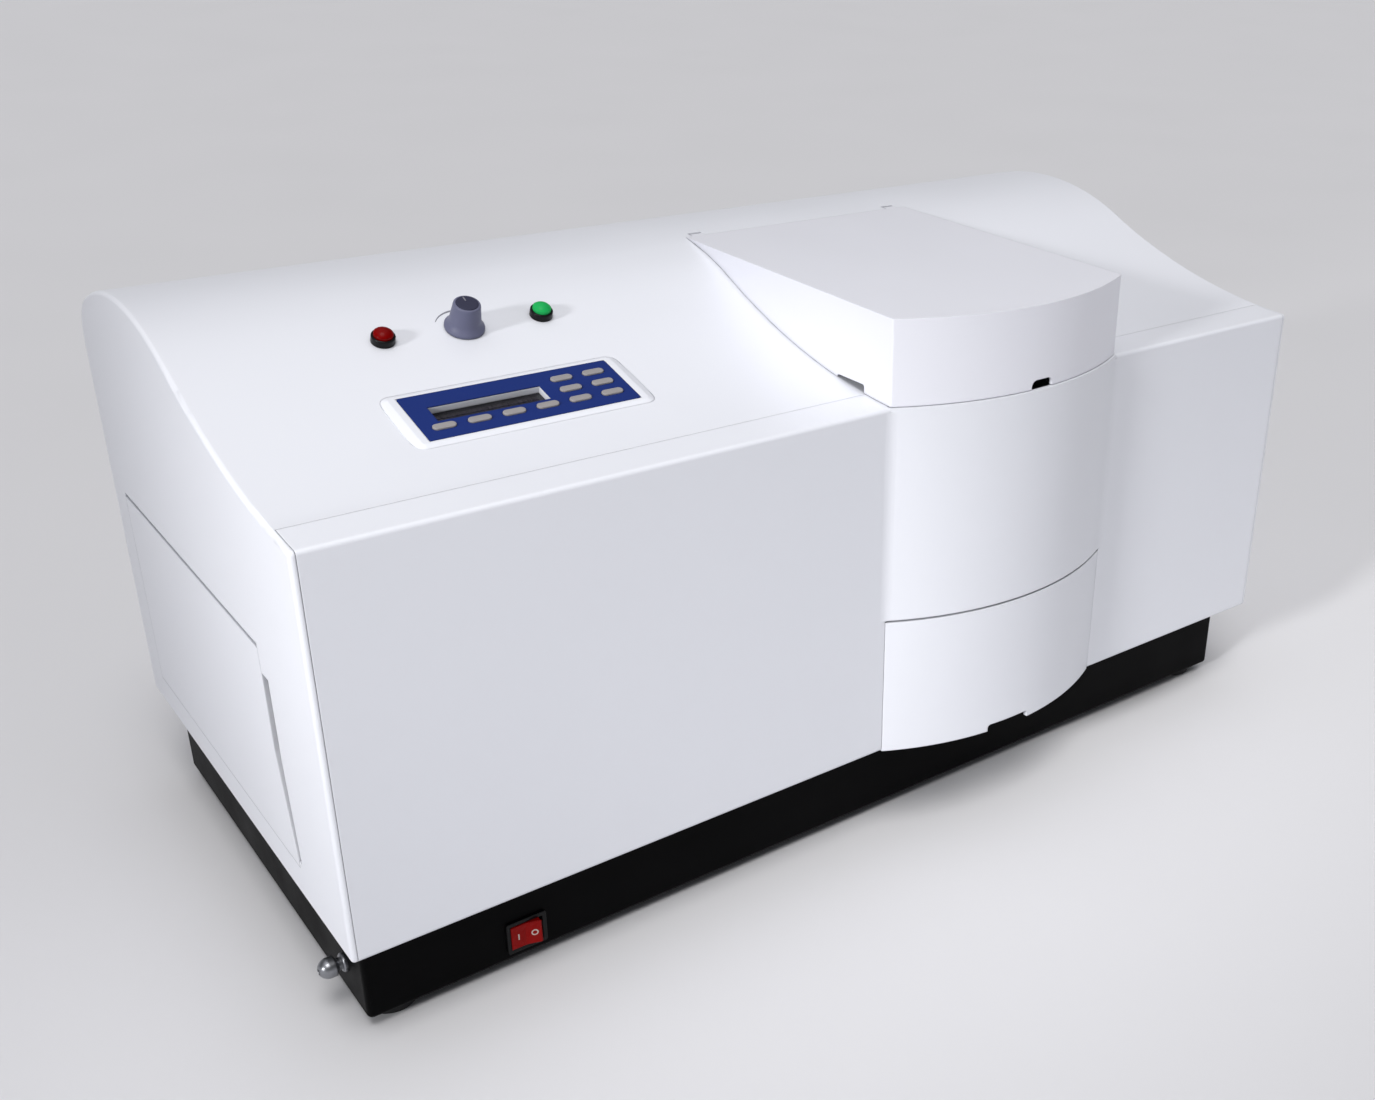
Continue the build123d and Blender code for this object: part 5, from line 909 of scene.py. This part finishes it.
class ANALYZER_OT_optics(PieceOperator, bpy.types.Operator):
    """Optical bench with laser, expander, flow cell, lens and ring detector"""

    bl_idname = "analyzer.optics"
    bl_label = "Optical bench"

    def execute(self, context):
        dress("isolation_mounts", "optical_rail", "barrel_clamps", "laser_tube", "beam_expander",
              "flow_cell_frame", "flow_cell_windows", "lens_barrel", "collecting_lens", "detector_base",
              "detector_carriage")
        fittings = context.scene.analyzer_fittings

        # Cooling fins on the laser tube, between its two clamps
        low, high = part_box("laser_tube")
        axis_y = (low.y + high.y) / 2
        axis_z = (low.z + high.z) / 2
        tube_radius = (high.z - low.z) / 2
        middle = (low.x + high.x) / 2
        places = []
        for index in range(FIN_COUNT):
            x = middle + (index - (FIN_COUNT - 1) / 2) * fittings.fin_pitch
            places.append(((x, axis_y, axis_z), (1, 0, 0)))
        numbers = {
            "Radius": tube_radius + fittings.fin_reach / 2, "Width": fittings.fin_thickness,
            "Thickness": fittings.fin_reach,
        }
        fins = band_tree("fin_rings", finish("aluminium_black"), False)
        grow("laser_fins", fins, numbers, places, "housing")

        # Ring detector: silicon rings on the plate that faces the beam
        face = min(
            vertex.co.x for vertex in frame["nodes"]["detector_carriage"].data.vertices
            if abs(vertex.co.z - axis_z) < CARRIAGE_REACH and abs(vertex.co.y - axis_y) < CARRIAGE_REACH
        )
        places = [((face - RING_LIFT, axis_y, axis_z), (1, 0, 0))] * RING_COUNT
        numbers = {
            "Inner": RING_INNER, "Pitch": RING_PITCH, "Thickness": RING_THICKNESS, "Width": RING_WIDTH,
        }
        rings = ring_tree("detector_ring_faces", finish("silicon"))
        grow("detector_rings", rings, numbers, places, "detector_carriage_body")
        return {"FINISHED"}


class ANALYZER_OT_screws(PieceOperator, bpy.types.Operator):
    """Cap screws of the clamps, the flow cell, the pump and the stirrer"""

    bl_idname = "analyzer.screws"
    bl_label = "Cap screws"

    def execute(self, context):
        fittings = context.scene.analyzer_fittings
        places = []

        # One in the top of every barrel clamp
        clamps = frame["nodes"]["barrel_clamps"].data
        low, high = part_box("barrel_clamps")
        groups = []
        for x in sorted({round(vertex.co.x, 4) for vertex in clamps.vertices}):
            if groups and x - groups[-1][-1] < CLAMP_GAP:
                groups[-1].append(x)
            else:
                groups.append([x])
        for group in groups:
            places.append((((group[0] + group[-1]) / 2, (low.y + high.y) / 2, high.z), (0, 0, 1)))

        # Four in either side of the flow cell
        low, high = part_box("flow_cell_frame")
        for y in (low.y + CELL_PORT_LENGTH + CELL_SCREW_INSET, high.y - CELL_SCREW_INSET):
            for z in (low.z + CELL_SCREW_INSET, high.z - CELL_SCREW_INSET):
                places.append(((low.x, y, z), (-1, 0, 0)))
                places.append(((high.x, y, z), (1, 0, 0)))

        # Six round the pump's head
        pump_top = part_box("circulation_pump")[1].z
        pump_x, pump_y, _ = joint_of("pump_spin")["pos_m"]
        pump = Vector((pump_x, pump_y, pump_top - PUMP_HEAD_BELOW_TOP))
        for index in range(PUMP_SCREWS):
            angle = radians(30 + 360 / PUMP_SCREWS * index)
            spoke = Vector((cos(angle), sin(angle), 0))
            places.append((pump + spoke * PUMP_SCREW_RADIUS, (0, 0, 1)))

        # Two on the stirrer bracket's foot
        low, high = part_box("stirrer_bracket")
        middle_y = (low.y + high.y) / 2
        for y in (middle_y - FOOT_SCREW_SPREAD, middle_y + FOOT_SCREW_SPREAD):
            places.append(((high.x - FOOT_SCREW_INSET, y, low.z + FOOT_THICKNESS), (0, 0, 1)))
        numbers = {
            "Radius": fittings.screw_radius, "Height": fittings.screw_height,
            "Socket": fittings.socket_radius,
        }
        screws = cap_screw_tree(finish("screw_steel"))
        grow("cap_screws", screws, numbers, places, "housing")
        return {"FINISHED"}


OPERATORS = (
    ANALYZER_OT_stage, ANALYZER_OT_housing, ANALYZER_OT_base, ANALYZER_OT_lid, ANALYZER_OT_keypad,
    ANALYZER_OT_controls, ANALYZER_OT_chamber, ANALYZER_OT_optics, ANALYZER_OT_screws,
)


class ANALYZER_PT_pieces(bpy.types.Panel):
    """Lists the pieces of the analyzer"""

    bl_idname = "ANALYZER_PT_pieces"
    bl_label = "Particle Size Analyzer"
    bl_space_type = "VIEW_3D"
    bl_region_type = "UI"
    bl_category = "Analyzer"

    def draw(self, context):
        for operator in OPERATORS:
            self.layout.operator(operator.bl_idname)
        scene = context.scene
        for settings in (scene.analyzer_finish, scene.analyzer_fittings, scene.analyzer_studio):
            box = self.layout.box()
            for name in settings.__annotations__:
                box.prop(settings, name)


CLASSES = (FinishSettings, FittingSettings, StudioSettings, *OPERATORS, ANALYZER_PT_pieces)


def register():
    """Registers the settings, the operators and the panel."""
    for cls in CLASSES:
        bpy.utils.register_class(cls)
    bpy.types.Scene.analyzer_finish = bpy.props.PointerProperty(type=FinishSettings)
    bpy.types.Scene.analyzer_fittings = bpy.props.PointerProperty(type=FittingSettings)
    bpy.types.Scene.analyzer_studio = bpy.props.PointerProperty(type=StudioSettings)


def unregister():
    """Takes back what register did."""
    del bpy.types.Scene.analyzer_studio
    del bpy.types.Scene.analyzer_fittings
    del bpy.types.Scene.analyzer_finish
    for cls in reversed(CLASSES):
        bpy.utils.unregister_class(cls)


def main():
    """Builds everything in order."""
    register()
    for operator in OPERATORS:
        group, name = operator.bl_idname.split(".")
        getattr(getattr(bpy.ops, group), name)()


if __name__ == "__main__":
    main()
